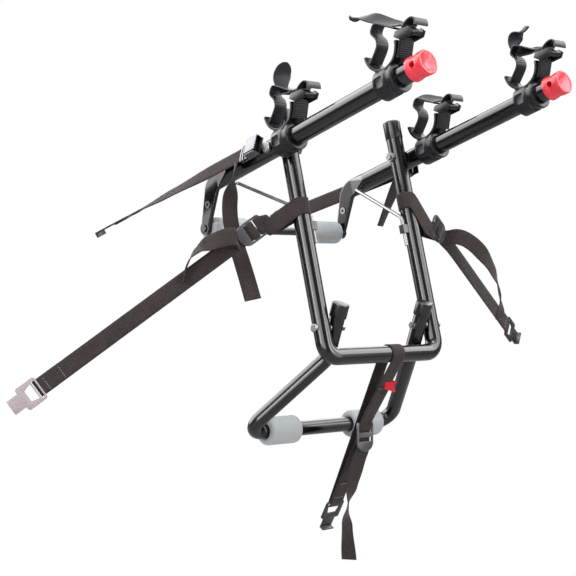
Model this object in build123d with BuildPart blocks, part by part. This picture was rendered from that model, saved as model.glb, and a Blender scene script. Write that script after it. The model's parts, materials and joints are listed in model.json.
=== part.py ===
import os
from math import acos, cos, degrees, radians, sin, tan

from build123d import *

os.makedirs("parts", exist_ok=True)

# X runs across the car, +Y points at the car and +Z up. The origin is the middle of the
# upper bar's axis, where the rack rests on the trunk lid.

# Carrying arms: a round tube, crushed flat and bent down to the upper bar behind
arm_diameter = 28.6
arm_wall = 1.6
arm_spacing = 285.8
arm_rise = 17.0
arm_tube_front = 290.0
arm_round_back = 98.0
arm_corner_back = 146.0
arm_bend_radius = 22.0
flat_thickness = 7.0
flat_width = 30.0
flat_tip_width = 19.0
flat_drop = 71.3
flat_slope = 13.7
flat_corner_radius = 3.2
round_share = 0.99

# Red caps on the arms
cap_length = 29.0
cap_overhang = 22.0
cap_radius = 17.4
cap_waist_radius = 16.3
cap_face_radius = 16.2
cap_edge = 1.2
cap_plug = 20.0
cap_back_ring_share = 0.14
cap_waist_share = 0.45
cap_front_ring_share = 0.8
cap_tether_hole = 9.5
cap_hole_setback = 15.0
cap_hole_turn = 86.5
cap_fit = 0.1

# Upper bar and its foam pads
bar_diameter = 12.7
bar_spigot = 8.0
bar_peen = 12.0
bar_peen_height = 2.0
upper_pad_diameter = 36.0
upper_pad_length = 75.0
upper_pad_left_gap = 0.4
upper_pad_right_gap = 6.9
pad_edge = 2.5
pad_fit = 0.15

# Eyelets through the crushed ends
eyelet_height = 37.0
eyelet_barrel = 8.0
eyelet_bore = 4.5
eyelet_flange = 11.5
eyelet_flange_thickness = 1.2

# Folding frame: a bent tube hung from the arms' pivot bolts
frame_diameter = 25.4
frame_wall = 1.6
hub_gap = 1.55
frame_lean = 14.7
frame_drop = 309.2
frame_top = 30.0
frame_corner_radius = 20.5
frame_cap_height = 29.0
frame_cap_step = 0.8
frame_cap_plug = 18.0
frame_cap_edge = 3.0

# Pivot bolts, nuts and washers
bolt_diameter = 8.0
bolt_head_diameter = 17.0
bolt_head_height = 4.5
nut_width = 13.0
nut_height = 6.8
bolt_tail = 2.0
bolt_fit = 0.08
seat_gap = 0.15
washer_diameter = 22.0

# Lower frame: a second bent tube that rests behind the folding frame's cross tube
lower_diameter = 22.2
lower_wall = 1.6
lower_side_gap = 2.7
lower_rest_gap = 0.3
stub_angle = 20.0
stub_top = 34.0
stub_bend = 48.2
stub_bend_radius = 30.0
leg_spread = 65.4
leg_reach = 106.2
leg_fall = 111.0
lower_corner_radius = 21.0
lower_bolt_diameter = 6.0
lower_head_diameter = 13.0
lower_head_height = 3.6
lower_nut_width = 10.0
lower_nut_height = 5.0
spacer_diameter = 12.0
stub_cap_wall = 1.6
stub_cap_skirt = 21.0
stub_cap_roof = 3.0
stub_cap_fit = 0.05
lower_pad_diameter = 42.0
lower_pad_length = 62.0
lower_pad_left = 84.0
lower_pad_right = 90.0
lower_pad_edge = 6.0

# Locking rods between the arms and the folding frame
rod_diameter = 5.5
rod_pin_back = 113.0
rod_pin_below = 11.4
rod_pin_plane = 17.9
rod_pin_depth = 10.0
rod_pin_bend = 7.0
rod_knee_drop = 97.0
rod_knee_offset = 18.6
rod_knee_bend = 14.0
rod_leg_drop = 142.0
clip_wall = 1.8
clip_fit = 0.35
clip_rise = 4.2
clip_length = 13.0
clip_drop = 116.0

# Cradles for the bicycles' top tubes; the two saddles on each arm stand where they were slid
front_left_station = 242.0
front_right_station = 247.0
rear_left_station = 30.0
rear_right_station = 45.0
collar_radius = 21.0
collar_waist = 19.2
collar_back = 15.0
collar_front = 20.0
collar_fit = 0.1
collar_ring = 5.0
collar_groove = 7.0
collar_step = 1.2
collar_edge = 0.8
pocket_length = 15.0
pocket_height = 15.0
pocket_depth = 2.4
pocket_corner = 4.0
saddle_radius = 26.8
saddle_wall = 3.6
saddle_width = 28.0
saddle_height = 44.0
saddle_shift = 5.5
saddle_rib = 1.6
saddle_rib_height = 1.4
web_width = 20.0
web_back_share = 0.75
web_back_drop_share = 0.62
web_front_share = 0.97
web_front_drop_share = 0.3

# Cradle straps, their buckles and levers, seen from the side of the arm
strap_width = 23.0
strap_thickness = 2.2
strap_foot = (-18.6, 34.0)
strap_knee = (-4.6, 46.6)
strap_bow = (0.5, 58.5)
strap_neck = (-6.0, 71.0)
strap_crown = (3.0, 82.0)
strap_mouth = (35.5, 60.8)
strap_knee_bend = 12.0
strap_bow_bend = 13.0
strap_neck_bend = 7.0
strap_crown_bend = 4.5
tail_start = (55.0, 56.6)
tail_middle = (12.0, 81.5)
tail_tip = (-34.0, 101.0)
tail_bend = 90.0
cheek_gap = 0.4
cheek_thickness = 2.0
cheek_back = (33.0, 49.0)
cheek_top = (38.0, 55.0)
cheek_nose = (61.0, 52.5)
cheek_front = (66.5, 46.0)
cheek_under = (61.0, 39.5)
cheek_heel = (44.0, 40.0)
barrel_centre = (60.0, 46.0)
barrel_radius = 4.6
lever_pin_radius = 2.0
lever_fit = 0.06
lever_end_gap = 0.3
lever_thickness = 2.4
lever_root = (56.2, 53.0)
lever_tip = (71.0, 61.5)
brace_top = (42.6, 45.5)
brace_foot = (30.1, 21.5)
brace_thickness = 3.4
bridge_top = (37.6, 52.5)

# Webbing, its locks and its trunk hooks
web_strap_width = 25.4
web_strap_thickness = 1.6
wrap_gap = 0.1
leg_sink = 0.2
loop_drop_left = 89.0
loop_drop_right = 71.5
lock_length = 45.0
lock_width = 33.0
lock_thickness = 5.0
lock_corner = 5.0
lock_slot = 6.0
lock_slot_width = 27.0
lock_slot_pitch = 11.5
hook_plate_length = 32.0
hook_plate_width = 36.0
hook_plate_corner = 4.0
hook_thickness = 2.6
hook_neck_width = 22.0
hook_neck_length = 18.0
hook_lip = 9.0
hook_slot = 5.0
hook_slot_width = 28.0
hook_window_back = 24.0
hook_window_front = 17.0
hook_window_length = 12.0
cord_gap = 0.3
arc_run_share = 0.45
loop_tab_share = 0.6

# Cam buckles on the arms' outer sides
cam_station = -32.0
cam_turn_left = 62.0
cam_turn_right = 100.0
cam_length = 40.0
cam_width = 30.0
cam_base = 2.0
cam_foot_width = 14.0
cam_cheek_height = 12.0
cam_cheek_thickness = 1.8
cam_cheek_length = 24.0
cam_pin_radius = 2.5
cam_pin_height = 7.5
cam_roller_radius = 4.4
cam_lever_length = 21.0
cam_lever_thickness = 1.8
cam_fit = 0.06

overrun = 3.0

# Free webbing, as points chosen by hand in mm from the middle of the pivots
top_strap_left_end = (-206.0, 288.0, -96.0)
top_strap_right_end = (152.0, 300.0, -80.0)
top_tail_left_route = [
    (-171, 53, -20.6), (-172, 64, -58), (-173, 66, -98), (-172, 58, -138), (-170, 47, -178),
    (-168, 34, -219),
]
top_tail_right_route = [(148, 27, -26.1), (142, 36, -50), (137, 46, -76), (132, 56, -104)]
side_strap_left_run = [(-186, 29, -134), (-418, 142, -320)]
side_strap_right_run = [(190, -28, -123), (431, 44, -267)]
side_tail_left_route = [(-172, 17, -121), (-191, 17, -125), (-209, 27, -132), (-226, 39, -147), (-240, 50, -172)]
side_tail_right_route = [
    (173, -38.4, -112), (203, -50, -120), (234, -60, -138), (262, -68, -172), (284, -66, -212),
    (291, -58, -251),
]
bottom_front_x = 20.0
bottom_buckle_spot = (20, -21, -426)
bottom_hook_spot = (24.0, 46.0, -530.0)
bottom_tail_route = [(20, -21, -451.2), (12, -18, -492), (6, -12, -532), (8, -8, -572), (10, -9, -611)]

# Directions and places that follow from the sizes above
arm_radius = arm_diameter / 2
frame_radius = frame_diameter / 2
lower_radius = lower_diameter / 2
rod_radius = rod_diameter / 2
arm_centre = arm_spacing / 2
frame_centre = arm_centre - arm_radius - frame_radius - hub_gap
lower_centre = frame_centre - frame_radius - lower_radius - lower_side_gap
half_web = web_strap_width / 2

arm_way = Vector(0, -cos(radians(arm_rise)), sin(radians(arm_rise)))
arm_up = Vector(0, sin(radians(arm_rise)), cos(radians(arm_rise)))
flat_way = Vector(0, sin(radians(flat_slope)), -cos(radians(flat_slope)))
frame_way = Vector(0, -sin(radians(frame_lean)), -cos(radians(frame_lean)))
frame_rear = Vector(0, cos(radians(frame_lean)), -sin(radians(frame_lean)))
stub_way = Vector(0, sin(radians(stub_angle)), -cos(radians(stub_angle)))
across = Vector(1, 0, 0)

pivot = -flat_way * flat_drop + arm_way * arm_corner_back
arm_bend_turn = 90 - arm_rise - flat_slope
arm_bend_tangent = arm_bend_radius * tan(radians(arm_bend_turn / 2))
tube_gap = arm_centre - arm_radius - frame_centre - frame_radius
washer_thickness = tube_gap - 2 * seat_gap
lower_pivot_drop = frame_drop - (frame_radius + lower_radius + lower_rest_gap) / sin(
    radians(frame_lean + stub_angle)
)
lower_pivot = pivot + frame_way * lower_pivot_drop
stub_bend_point = lower_pivot + stub_way * stub_bend
crossbar = stub_bend_point + Vector(0, leg_reach, -leg_fall)
lower_corner = lower_centre + leg_spread


def arm_plane(side, station, turn=0):
    """Plane square to an arm, its Y up from the arm, at a distance before the pivot."""
    origin = across * (side * arm_centre) + pivot + arm_way * station
    turned = across * cos(radians(turn)) + arm_up * sin(radians(turn))
    return Plane(origin=origin, x_dir=turned, z_dir=arm_way)


def frame_plane(side, drop):
    """Plane square to an upright, its X towards the middle and its Y towards the car."""
    origin = across * (side * frame_centre) + pivot + frame_way * drop
    return Plane(origin=origin, x_dir=across * -side, z_dir=frame_way * side)


def placed(shape, plane):
    """A copy of a shape that was made at the origin, moved to a plane."""
    with BuildPart() as copy:
        with Locations(plane.location):
            add(shape)
    return copy.part


def together(*shapes):
    """Separate solids kept as one named piece."""
    with BuildPart() as group:
        add(list(shapes))
    return group.part


def save(part, name):
    part.label = name
    export_step(part, "parts/" + name + ".step")


def pin(side, start, end, radius, y, z):
    """Round pin along X between two distances from the middle."""
    with BuildPart() as rod:
        with BuildSketch(Plane.YZ.offset(side * start)):
            with Locations((y, z)):
                Circle(radius)
        extrude(amount=side * (end - start))
    return rod.part


def nut_ring(side, face, width, height, bore, y, z):
    """Hexagon nut whose inner face lies at a distance from the middle."""
    with BuildPart() as nut:
        with BuildSketch(Plane.YZ.offset(side * face)):
            with Locations((y, z)):
                RegularPolygon(width / 2, 6, major_radius=False)
                Circle(bore, mode=Mode.SUBTRACT)
        extrude(amount=-side * height)
    return nut.part


def domed_head(side, face, diameter, height, y, z):
    with BuildPart() as head:
        with BuildSketch(Plane.YZ.offset(side * face)):
            with Locations((y, z)):
                Circle(diameter / 2)
        extrude(amount=side * height)
        outer = head.edges().filter_by(GeomType.CIRCLE).sort_by(Axis.X)
        fillet(outer[-1] if side > 0 else outer[0], height / 2)
    return head.part


# Arms
def make_arm(side):
    crush_back = arm_corner_back - arm_bend_tangent
    back = arm_plane(side, -arm_round_back)
    bend_start = arm_plane(side, -crush_back)
    bend_axis = Axis(bend_start.origin - arm_up * arm_bend_radius, across * -1)
    corner = across * (side * arm_centre) - flat_way * flat_drop
    flat_start = Plane(origin=corner + flat_way * arm_bend_tangent, x_dir=across, z_dir=flat_way)
    tip = Plane(origin=across * (side * arm_centre), x_dir=across, z_dir=flat_way)
    eyelet = -flat_way * eyelet_height
    rod_seat = pivot - arm_way * rod_pin_back - arm_up * rod_pin_below
    with BuildPart() as arm:
        with BuildSketch(back):
            Circle(arm_radius)
        extrude(amount=arm_tube_front + arm_round_back)
        with BuildSketch(back):
            RectangleRounded(arm_diameter, arm_diameter, arm_radius * round_share)
        with BuildSketch(bend_start):
            RectangleRounded(flat_thickness, flat_width, flat_corner_radius)
        loft()
        with BuildSketch(bend_start):
            RectangleRounded(flat_thickness, flat_width, flat_corner_radius)
        revolve(axis=bend_axis, revolution_arc=arm_bend_turn)
        with BuildSketch(flat_start):
            RectangleRounded(flat_thickness, flat_width, flat_corner_radius)
        with BuildSketch(tip):
            RectangleRounded(flat_thickness, flat_tip_width, flat_corner_radius)
        loft()
        add(pin(side, arm_centre - flat_thickness / 2, arm_centre + flat_thickness / 2,
                flat_tip_width / 2, 0, 0))
        with BuildSketch(back):
            Circle(arm_radius - arm_wall)
        extrude(amount=arm_tube_front + arm_round_back + overrun, mode=Mode.SUBTRACT)
        through = arm_radius + overrun
        for radius, y, z, start in (
            (bolt_diameter / 2 + bolt_fit, pivot.Y, pivot.Z, arm_centre - through),
            (bar_spigot / 2 + pad_fit, 0, 0, arm_centre - through),
            (eyelet_barrel / 2 + bolt_fit, eyelet.Y, eyelet.Z, arm_centre - through),
        ):
            add(pin(side, start, arm_centre + through, radius, y, z), mode=Mode.SUBTRACT)
        add(pin(side, arm_centre - through, rod_hole_end, rod_radius + bolt_fit,
                rod_seat.Y, rod_seat.Z), mode=Mode.SUBTRACT)
    return arm.part


rod_plane = arm_centre - rod_pin_plane
rod_hole_end = rod_plane + rod_pin_depth + seat_gap
arm_left = make_arm(-1)
arm_right = make_arm(1)
save(arm_left, "arm_left")
save(arm_right, "arm_right")

# End caps: a waisted head with a plug in the tube
cap_front = arm_tube_front + cap_overhang
cap_back = cap_front - cap_length
ring_back = cap_back + cap_length * cap_back_ring_share
ring_front = cap_back + cap_length * cap_front_ring_share
with BuildPart() as end_cap:
    with BuildSketch(Plane.XZ):
        with BuildLine():
            Spline(
                (cap_radius, ring_back),
                (cap_waist_radius, cap_back + cap_length * cap_waist_share),
                (cap_radius, ring_front),
                tangents=((0, 1), (0, 1)),
            )
            Polyline(
                (cap_radius, ring_front), (cap_radius, cap_front - cap_edge),
                (cap_face_radius, cap_front), (0, cap_front), (0, cap_back),
                (cap_face_radius, cap_back), (cap_radius, cap_back + cap_edge), (cap_radius, ring_back),
            )
        make_face()
    revolve(axis=Axis.Z)
    with BuildSketch(Plane.XY.offset(cap_back)):
        Circle(arm_radius + cap_fit)
    extrude(amount=cap_length - cap_overhang + seat_gap, mode=Mode.SUBTRACT)
    with BuildSketch(Plane.XY.offset(arm_tube_front + seat_gap)):
        Circle(arm_radius - arm_wall - cap_fit)
    extrude(amount=-cap_plug)
    hole_side = Vector(-sin(radians(cap_hole_turn)), cos(radians(cap_hole_turn)), 0)
    with BuildSketch(Plane(origin=(0, 0, cap_front - cap_hole_setback), z_dir=hole_side)):
        Circle(cap_tether_hole / 2)
    extrude(amount=cap_radius + overrun, both=True, mode=Mode.SUBTRACT)
for side, name in ((-1, "left"), (1, "right")):
    save(placed(end_cap.part, arm_plane(side, 0)), "end_cap_" + name)

# Upper bar, its peened ends and pads
bar_half = arm_centre - flat_thickness / 2 - cap_fit
peen_face = arm_centre + flat_thickness / 2 + cap_fit
with BuildPart() as upper_bar:
    with BuildSketch(Plane.YZ):
        Circle(bar_diameter / 2)
    extrude(amount=bar_half, both=True)
    with BuildSketch(Plane.YZ):
        Circle(bar_spigot / 2)
    extrude(amount=peen_face, both=True)
    for side in (-1, 1):
        add(domed_head(side, peen_face, bar_peen, bar_peen_height, 0, 0))
save(upper_bar.part, "upper_bar")


def foam_pad(centre, length, diameter, bore, edge, y, z):
    with BuildPart() as pad:
        with BuildSketch(Plane.YZ.offset(centre)):
            with Locations((y, z)):
                Circle(diameter / 2)
        extrude(amount=length / 2, both=True)
        fillet(pad.edges().filter_by(GeomType.CIRCLE), edge)
        with BuildSketch(Plane.YZ.offset(centre)):
            with Locations((y, z)):
                Circle(bore)
        extrude(amount=length / 2 + overrun, both=True, mode=Mode.SUBTRACT)
    return pad.part


upper_bore = bar_diameter / 2 + pad_fit
arm_inner_face = arm_centre - flat_thickness / 2
upper_pad_left = arm_inner_face - upper_pad_left_gap - upper_pad_length / 2
upper_pad_right = arm_inner_face - upper_pad_right_gap - upper_pad_length / 2
save(foam_pad(-upper_pad_left, upper_pad_length, upper_pad_diameter, upper_bore, pad_edge, 0, 0),
     "upper_pad_left")
save(foam_pad(upper_pad_right, upper_pad_length, upper_pad_diameter, upper_bore, pad_edge, 0, 0),
     "upper_pad_right")

# Eyelets
eyelet_spot = -flat_way * eyelet_height


def eyelet_rivet(side):
    inner = arm_centre - flat_thickness / 2 - cap_fit
    outer = arm_centre + flat_thickness / 2 + cap_fit
    with BuildPart() as rivet:
        add(pin(side, inner - eyelet_flange_thickness, inner, eyelet_flange / 2,
                eyelet_spot.Y, eyelet_spot.Z))
        add(pin(side, outer, outer + eyelet_flange_thickness, eyelet_flange / 2,
                eyelet_spot.Y, eyelet_spot.Z))
        add(pin(side, inner, outer, eyelet_barrel / 2, eyelet_spot.Y, eyelet_spot.Z))
        add(pin(side, inner - overrun, outer + overrun, eyelet_bore / 2,
                eyelet_spot.Y, eyelet_spot.Z), mode=Mode.SUBTRACT)
    return rivet.part


save(together(eyelet_rivet(-1), eyelet_rivet(1)), "arm_eyelets")

# Pivot bolts between the arms and the folding frame
bolt_radius = bolt_diameter / 2
arm_outer_face = arm_centre + arm_radius + seat_gap
frame_inner_face = frame_centre - frame_radius - seat_gap


def hub_set(side):
    with BuildPart() as bolt:
        add(pin(side, frame_inner_face - nut_height - bolt_tail, arm_outer_face, bolt_radius,
                pivot.Y, pivot.Z))
        add(domed_head(side, arm_outer_face, bolt_head_diameter, bolt_head_height,
                       pivot.Y, pivot.Z))
    nut = nut_ring(side, frame_inner_face, nut_width, nut_height, bolt_radius + bolt_fit,
                   pivot.Y, pivot.Z)
    return [bolt.part, nut]


save(together(*hub_set(-1), *hub_set(1)), "hub_bolts")
with BuildPart() as hub_washers:
    for side in (-1, 1):
        with BuildSketch(Plane.YZ.offset(side * (frame_centre + frame_radius + seat_gap))):
            with Locations((pivot.Y, pivot.Z)):
                Circle(washer_diameter / 2)
                Circle(bolt_radius + bolt_fit, mode=Mode.SUBTRACT)
        extrude(amount=side * washer_thickness)
save(hub_washers.part, "hub_washers")

# Folding frame
frame_flat = Plane(origin=pivot, x_dir=across, z_dir=frame_rear * -1)
with BuildPart() as main_frame:
    with BuildLine(frame_flat) as frame_path:
        FilletPolyline(
            (-frame_centre, frame_top),
            (-frame_centre, -frame_drop),
            (frame_centre, -frame_drop),
            (frame_centre, frame_top),
            radius=frame_corner_radius,
        )
    with BuildSketch(Plane(origin=frame_path.line @ 0, z_dir=frame_path.line % 0)):
        Circle(frame_radius)
        Circle(frame_radius - frame_wall, mode=Mode.SUBTRACT)
    sweep()
    for side in (-1, 1):
        add(pin(side, lower_centre, arm_centre, bolt_radius + bolt_fit, pivot.Y, pivot.Z),
            mode=Mode.SUBTRACT)
        add(pin(side, lower_centre, arm_centre, lower_bolt_diameter / 2 + bolt_fit,
                lower_pivot.Y, lower_pivot.Z), mode=Mode.SUBTRACT)
save(main_frame.part, "main_frame")


def upright_cap(side):
    collar_plane = Plane(origin=across * (side * frame_centre) + pivot - frame_way * frame_top,
                         x_dir=across, z_dir=frame_way * -1)
    with BuildPart() as cap:
        with BuildSketch(collar_plane.offset(cap_fit)):
            Circle(frame_radius + frame_cap_step)
        extrude(amount=frame_cap_height - cap_fit)
        top = cap.faces().filter_by(Axis((0, 0, 0), frame_way)).sort_by(Axis.Z)[-1]
        fillet(top.edges(), frame_cap_edge)
        with BuildSketch(collar_plane.offset(cap_fit)):
            Circle(frame_radius - frame_wall - cap_fit)
        extrude(amount=-frame_cap_plug)
    return cap.part


save(together(upright_cap(-1), upright_cap(1)), "upright_caps")

# Lower frame
with BuildPart() as lower_frame:
    with BuildLine() as lower_path:
        stub_end = lower_pivot - stub_way * stub_top
        FilletPolyline(
            stub_end - across * lower_centre,
            stub_bend_point - across * lower_centre,
            crossbar - across * lower_corner,
            crossbar + across * lower_corner,
            stub_bend_point + across * lower_centre,
            stub_end + across * lower_centre,
            radius=[stub_bend_radius, lower_corner_radius, lower_corner_radius, stub_bend_radius],
        )
    with BuildSketch(Plane(origin=lower_path.line @ 0, z_dir=lower_path.line % 0)):
        Circle(lower_radius)
        Circle(lower_radius - lower_wall, mode=Mode.SUBTRACT)
    sweep()
    for side in (-1, 1):
        add(pin(side, 0, frame_centre, lower_bolt_diameter / 2 + bolt_fit,
                lower_pivot.Y, lower_pivot.Z), mode=Mode.SUBTRACT)
save(lower_frame.part, "lower_frame")


def stub_cap(side):
    top = Plane(origin=across * (side * lower_centre) + lower_pivot - stub_way * stub_top,
                x_dir=across, z_dir=stub_way * -1)
    with BuildPart() as cap:
        with BuildSketch(top.offset(stub_cap_roof)):
            Circle(lower_radius + stub_cap_wall)
        extrude(amount=-stub_cap_skirt)
        roof = cap.faces().filter_by(Axis((0, 0, 0), stub_way)).sort_by(Axis.Z)[-1]
        fillet(roof.edges(), stub_cap_roof / 2)
        with BuildSketch(top.offset(stub_cap_fit)):
            Circle(lower_radius + stub_cap_fit)
        extrude(amount=-stub_cap_skirt, mode=Mode.SUBTRACT)
    return cap.part


save(together(stub_cap(-1), stub_cap(1)), "stub_caps")
lower_bore = lower_radius + pad_fit
save(
    together(
        foam_pad(-lower_pad_left, lower_pad_length, lower_pad_diameter, lower_bore,
                 lower_pad_edge, crossbar.Y, crossbar.Z),
        foam_pad(lower_pad_right, lower_pad_length, lower_pad_diameter, lower_bore,
                 lower_pad_edge, crossbar.Y, crossbar.Z),
    ),
    "lower_pads",
)

# Bolts that carry the lower frame
lower_bolt_radius = lower_bolt_diameter / 2
upright_outer_face = frame_centre + frame_radius + seat_gap
stub_inner_face = lower_centre - lower_radius - seat_gap


def lower_bolt_set(side):
    with BuildPart() as bolt:
        add(pin(side, stub_inner_face - lower_nut_height - bolt_tail, upright_outer_face,
                lower_bolt_radius, lower_pivot.Y, lower_pivot.Z))
        add(domed_head(side, upright_outer_face, lower_head_diameter, lower_head_height,
                       lower_pivot.Y, lower_pivot.Z))
    nut = nut_ring(side, stub_inner_face, lower_nut_width, lower_nut_height,
                   lower_bolt_radius + bolt_fit, lower_pivot.Y, lower_pivot.Z)
    return [bolt.part, nut]


def lower_spacer(side):
    with BuildPart() as spacer:
        add(pin(side, lower_centre + lower_radius + seat_gap, frame_centre - frame_radius - seat_gap,
                spacer_diameter / 2, lower_pivot.Y, lower_pivot.Z))
        add(pin(side, lower_centre, frame_centre, lower_bolt_radius + bolt_fit,
                lower_pivot.Y, lower_pivot.Z), mode=Mode.SUBTRACT)
    return spacer.part


lower_hardware = [*lower_bolt_set(-1), *lower_bolt_set(1), lower_spacer(-1), lower_spacer(1)]
save(together(*lower_hardware), "pivot_bolts")

# Locking rods: pinned in the arms, clipped beside the uprights
rod_seat = pivot - arm_way * rod_pin_back - arm_up * rod_pin_below
rod_knee = frame_centre - rod_knee_offset


def locking_rod(side):
    knee = across * (side * rod_knee) + pivot + frame_way * rod_knee_drop
    leg_end = across * (side * rod_knee) + pivot + frame_way * rod_leg_drop
    top = rod_seat + across * (side * rod_plane)
    with BuildPart() as rod:
        with BuildLine() as path:
            FilletPolyline(
                top + across * (side * rod_pin_depth), top, knee, leg_end,
                radius=[rod_pin_bend, rod_knee_bend],
            )
        with BuildSketch(Plane(origin=path.line @ 0, z_dir=path.line % 0)):
            Circle(rod_radius)
        sweep()
    return rod.part


save(locking_rod(-1), "brace_left")
save(locking_rod(1), "brace_right")


def rod_clip(side, drop):
    half_gap = rod_radius + clip_fit
    inner = rod_knee_offset - half_gap
    outer = rod_knee_offset + half_gap
    floor = -half_gap - clip_wall
    with BuildPart() as clip:
        with BuildSketch(frame_plane(side, drop)):
            Polygon(
                (frame_radius - clip_wall, floor), (outer + clip_wall, floor),
                (outer + clip_wall, clip_rise), (outer, clip_rise), (outer, -half_gap),
                (inner, -half_gap), (inner, clip_rise), (frame_radius - clip_wall, clip_rise),
                align=None,
            )
            Circle(frame_radius + wrap_gap, mode=Mode.SUBTRACT)
        extrude(amount=clip_length / 2, both=True)
    return clip.part


save(together(rod_clip(-1, clip_drop), rod_clip(1, clip_drop)), "brace_clips")

# Cradle body, made at the origin with the arm along Z and up along Y
side_view = Plane(origin=(0, 0, 0), x_dir=(0, 0, 1), z_dir=(-1, 0, 0))
saddle_outer = saddle_radius + saddle_wall
saddle_middle = (saddle_shift, saddle_height)
above_saddle = (saddle_shift, saddle_height + 2 * saddle_outer)
groove_front = collar_front - collar_ring
groove_back = groove_front - collar_groove
with BuildPart() as cradle:
    with BuildSketch(Plane.XZ):
        with BuildLine():
            Polyline(
                (0, -collar_back), (collar_radius - collar_edge, -collar_back),
                (collar_radius, collar_edge - collar_back), (collar_radius, groove_back - collar_step),
                (collar_waist, groove_back), (collar_waist, groove_front - collar_step),
                (collar_radius, groove_front), (collar_radius, collar_front - collar_edge),
                (collar_radius - collar_edge, collar_front), (0, collar_front), (0, -collar_back),
            )
        make_face()
    revolve(axis=Axis.Z)
    with BuildSketch(side_view):
        with Locations(saddle_middle):
            Circle(saddle_outer)
        with Locations(above_saddle):
            Rectangle(4 * saddle_outer, 4 * saddle_outer, mode=Mode.SUBTRACT)
    extrude(amount=saddle_width / 2, both=True)
    with BuildSketch(side_view):
        Polygon(
            (-collar_back, 0), (-collar_back, collar_radius),
            (saddle_shift - saddle_outer * web_back_share,
             saddle_height - saddle_outer * web_back_drop_share),
            (saddle_shift + saddle_outer * web_front_share,
             saddle_height - saddle_outer * web_front_drop_share),
            (collar_front, collar_radius), (collar_front, 0),
            align=None,
        )
    extrude(amount=web_width / 2, both=True)
    with BuildSketch(side_view):
        with Locations(saddle_middle):
            Circle(saddle_outer + saddle_rib_height)
            Circle(saddle_radius + saddle_wall / 2, mode=Mode.SUBTRACT)
        with Locations(above_saddle):
            Rectangle(4 * saddle_outer, 4 * saddle_outer, mode=Mode.SUBTRACT)
    extrude(amount=saddle_rib, both=True)
    with BuildSketch(side_view):
        with Locations(saddle_middle):
            Circle(saddle_radius)
        with Locations(above_saddle):
            Rectangle(4 * saddle_outer, 4 * saddle_outer)
    extrude(amount=saddle_width / 2 + overrun, both=True, mode=Mode.SUBTRACT)
    with BuildSketch(Plane.XY):
        Circle(arm_radius + collar_fit)
    extrude(amount=2 * collar_front, both=True, mode=Mode.SUBTRACT)
    for pocket_side in (-1, 1):
        with BuildSketch(Plane.YZ.offset(pocket_side * collar_radius)):
            with Locations((0, (groove_back - collar_step - collar_back) / 2)):
                RectangleRounded(pocket_height, pocket_length, pocket_corner)
        extrude(amount=-pocket_side * pocket_depth, mode=Mode.SUBTRACT)

# Buckle: two cheeks, a pin for the lever and a ribbed leg down to the collar
cheek_start = strap_width / 2 + cheek_gap
brace_lean = Vector(brace_top[0] - brace_foot[0], brace_top[1] - brace_foot[1]).normalized()
brace_side = Vector(brace_lean.Y, -brace_lean.X) * brace_thickness
with BuildPart() as cradle_buckle:
    with BuildSketch(side_view):
        Polygon(cheek_back, cheek_top, cheek_nose, cheek_front, cheek_under, cheek_heel, align=None)
    extrude(amount=cheek_start + cheek_thickness, both=True)
    with BuildSketch(side_view):
        with Locations(barrel_centre):
            Rectangle(4 * saddle_outer, 4 * saddle_outer)
    extrude(amount=cheek_start, both=True, mode=Mode.SUBTRACT)
    with BuildSketch(side_view):
        with Locations(barrel_centre):
            Circle(lever_pin_radius)
    extrude(amount=cheek_start + cheek_thickness / 2, both=True)
    with BuildSketch(side_view):
        Polygon(
            brace_foot, brace_top, bridge_top,
            (bridge_top[0] + brace_side.X, bridge_top[1] + brace_side.Y),
            (brace_top[0] + brace_side.X, brace_top[1] + brace_side.Y),
            (brace_foot[0] + brace_side.X, brace_foot[1] + brace_side.Y),
            align=None,
        )
    extrude(amount=cheek_start + cheek_thickness / 2, both=True)

# Lever: a barrel round the pin with a flap over the strap
lever_half = cheek_start - lever_end_gap
flap_way = Vector(lever_tip[0] - lever_root[0], lever_tip[1] - lever_root[1]).normalized()
flap_up = Vector(-flap_way.Y, flap_way.X) * lever_thickness
with BuildPart() as cradle_lever:
    with BuildSketch(side_view):
        with Locations(barrel_centre):
            Circle(barrel_radius)
        Polygon(
            barrel_centre, lever_root, (lever_root[0] + flap_up.X, lever_root[1] + flap_up.Y),
            (lever_tip[0] + flap_up.X, lever_tip[1] + flap_up.Y), lever_tip,
            (barrel_centre[0] + barrel_radius, barrel_centre[1]),
            align=None,
        )
        with Locations(barrel_centre):
            Circle(lever_pin_radius + lever_fit, mode=Mode.SUBTRACT)
    extrude(amount=lever_half, both=True)

# Strap: from the saddle's back edge up, over and forward into the buckle, then its tail
with BuildPart() as cradle_strap:
    with BuildSketch(side_view):
        with BuildLine():
            FilletPolyline(
                strap_foot, strap_knee, strap_bow, strap_neck, strap_crown, strap_mouth,
                radius=[strap_knee_bend, strap_bow_bend, strap_neck_bend, strap_crown_bend],
            )
        trace(line_width=strap_thickness)
        with BuildLine():
            FilletPolyline(tail_start, tail_middle, tail_tip, radius=tail_bend)
        trace(line_width=strap_thickness)
    extrude(amount=strap_width / 2, both=True)

for name, side, station in (
    ("front_left", -1, front_left_station), ("front_right", 1, front_right_station),
    ("rear_left", -1, rear_left_station), ("rear_right", 1, rear_right_station),
):
    spot = arm_plane(side, station)
    save(placed(cradle.part, spot), "cradle_" + name)
    save(placed(cradle_strap.part, spot), "cradle_strap_" + name)
    save(placed(cradle_buckle.part, spot), "cradle_buckle_" + name)
    save(placed(cradle_lever.part, spot), "cradle_lever_" + name)

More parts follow.
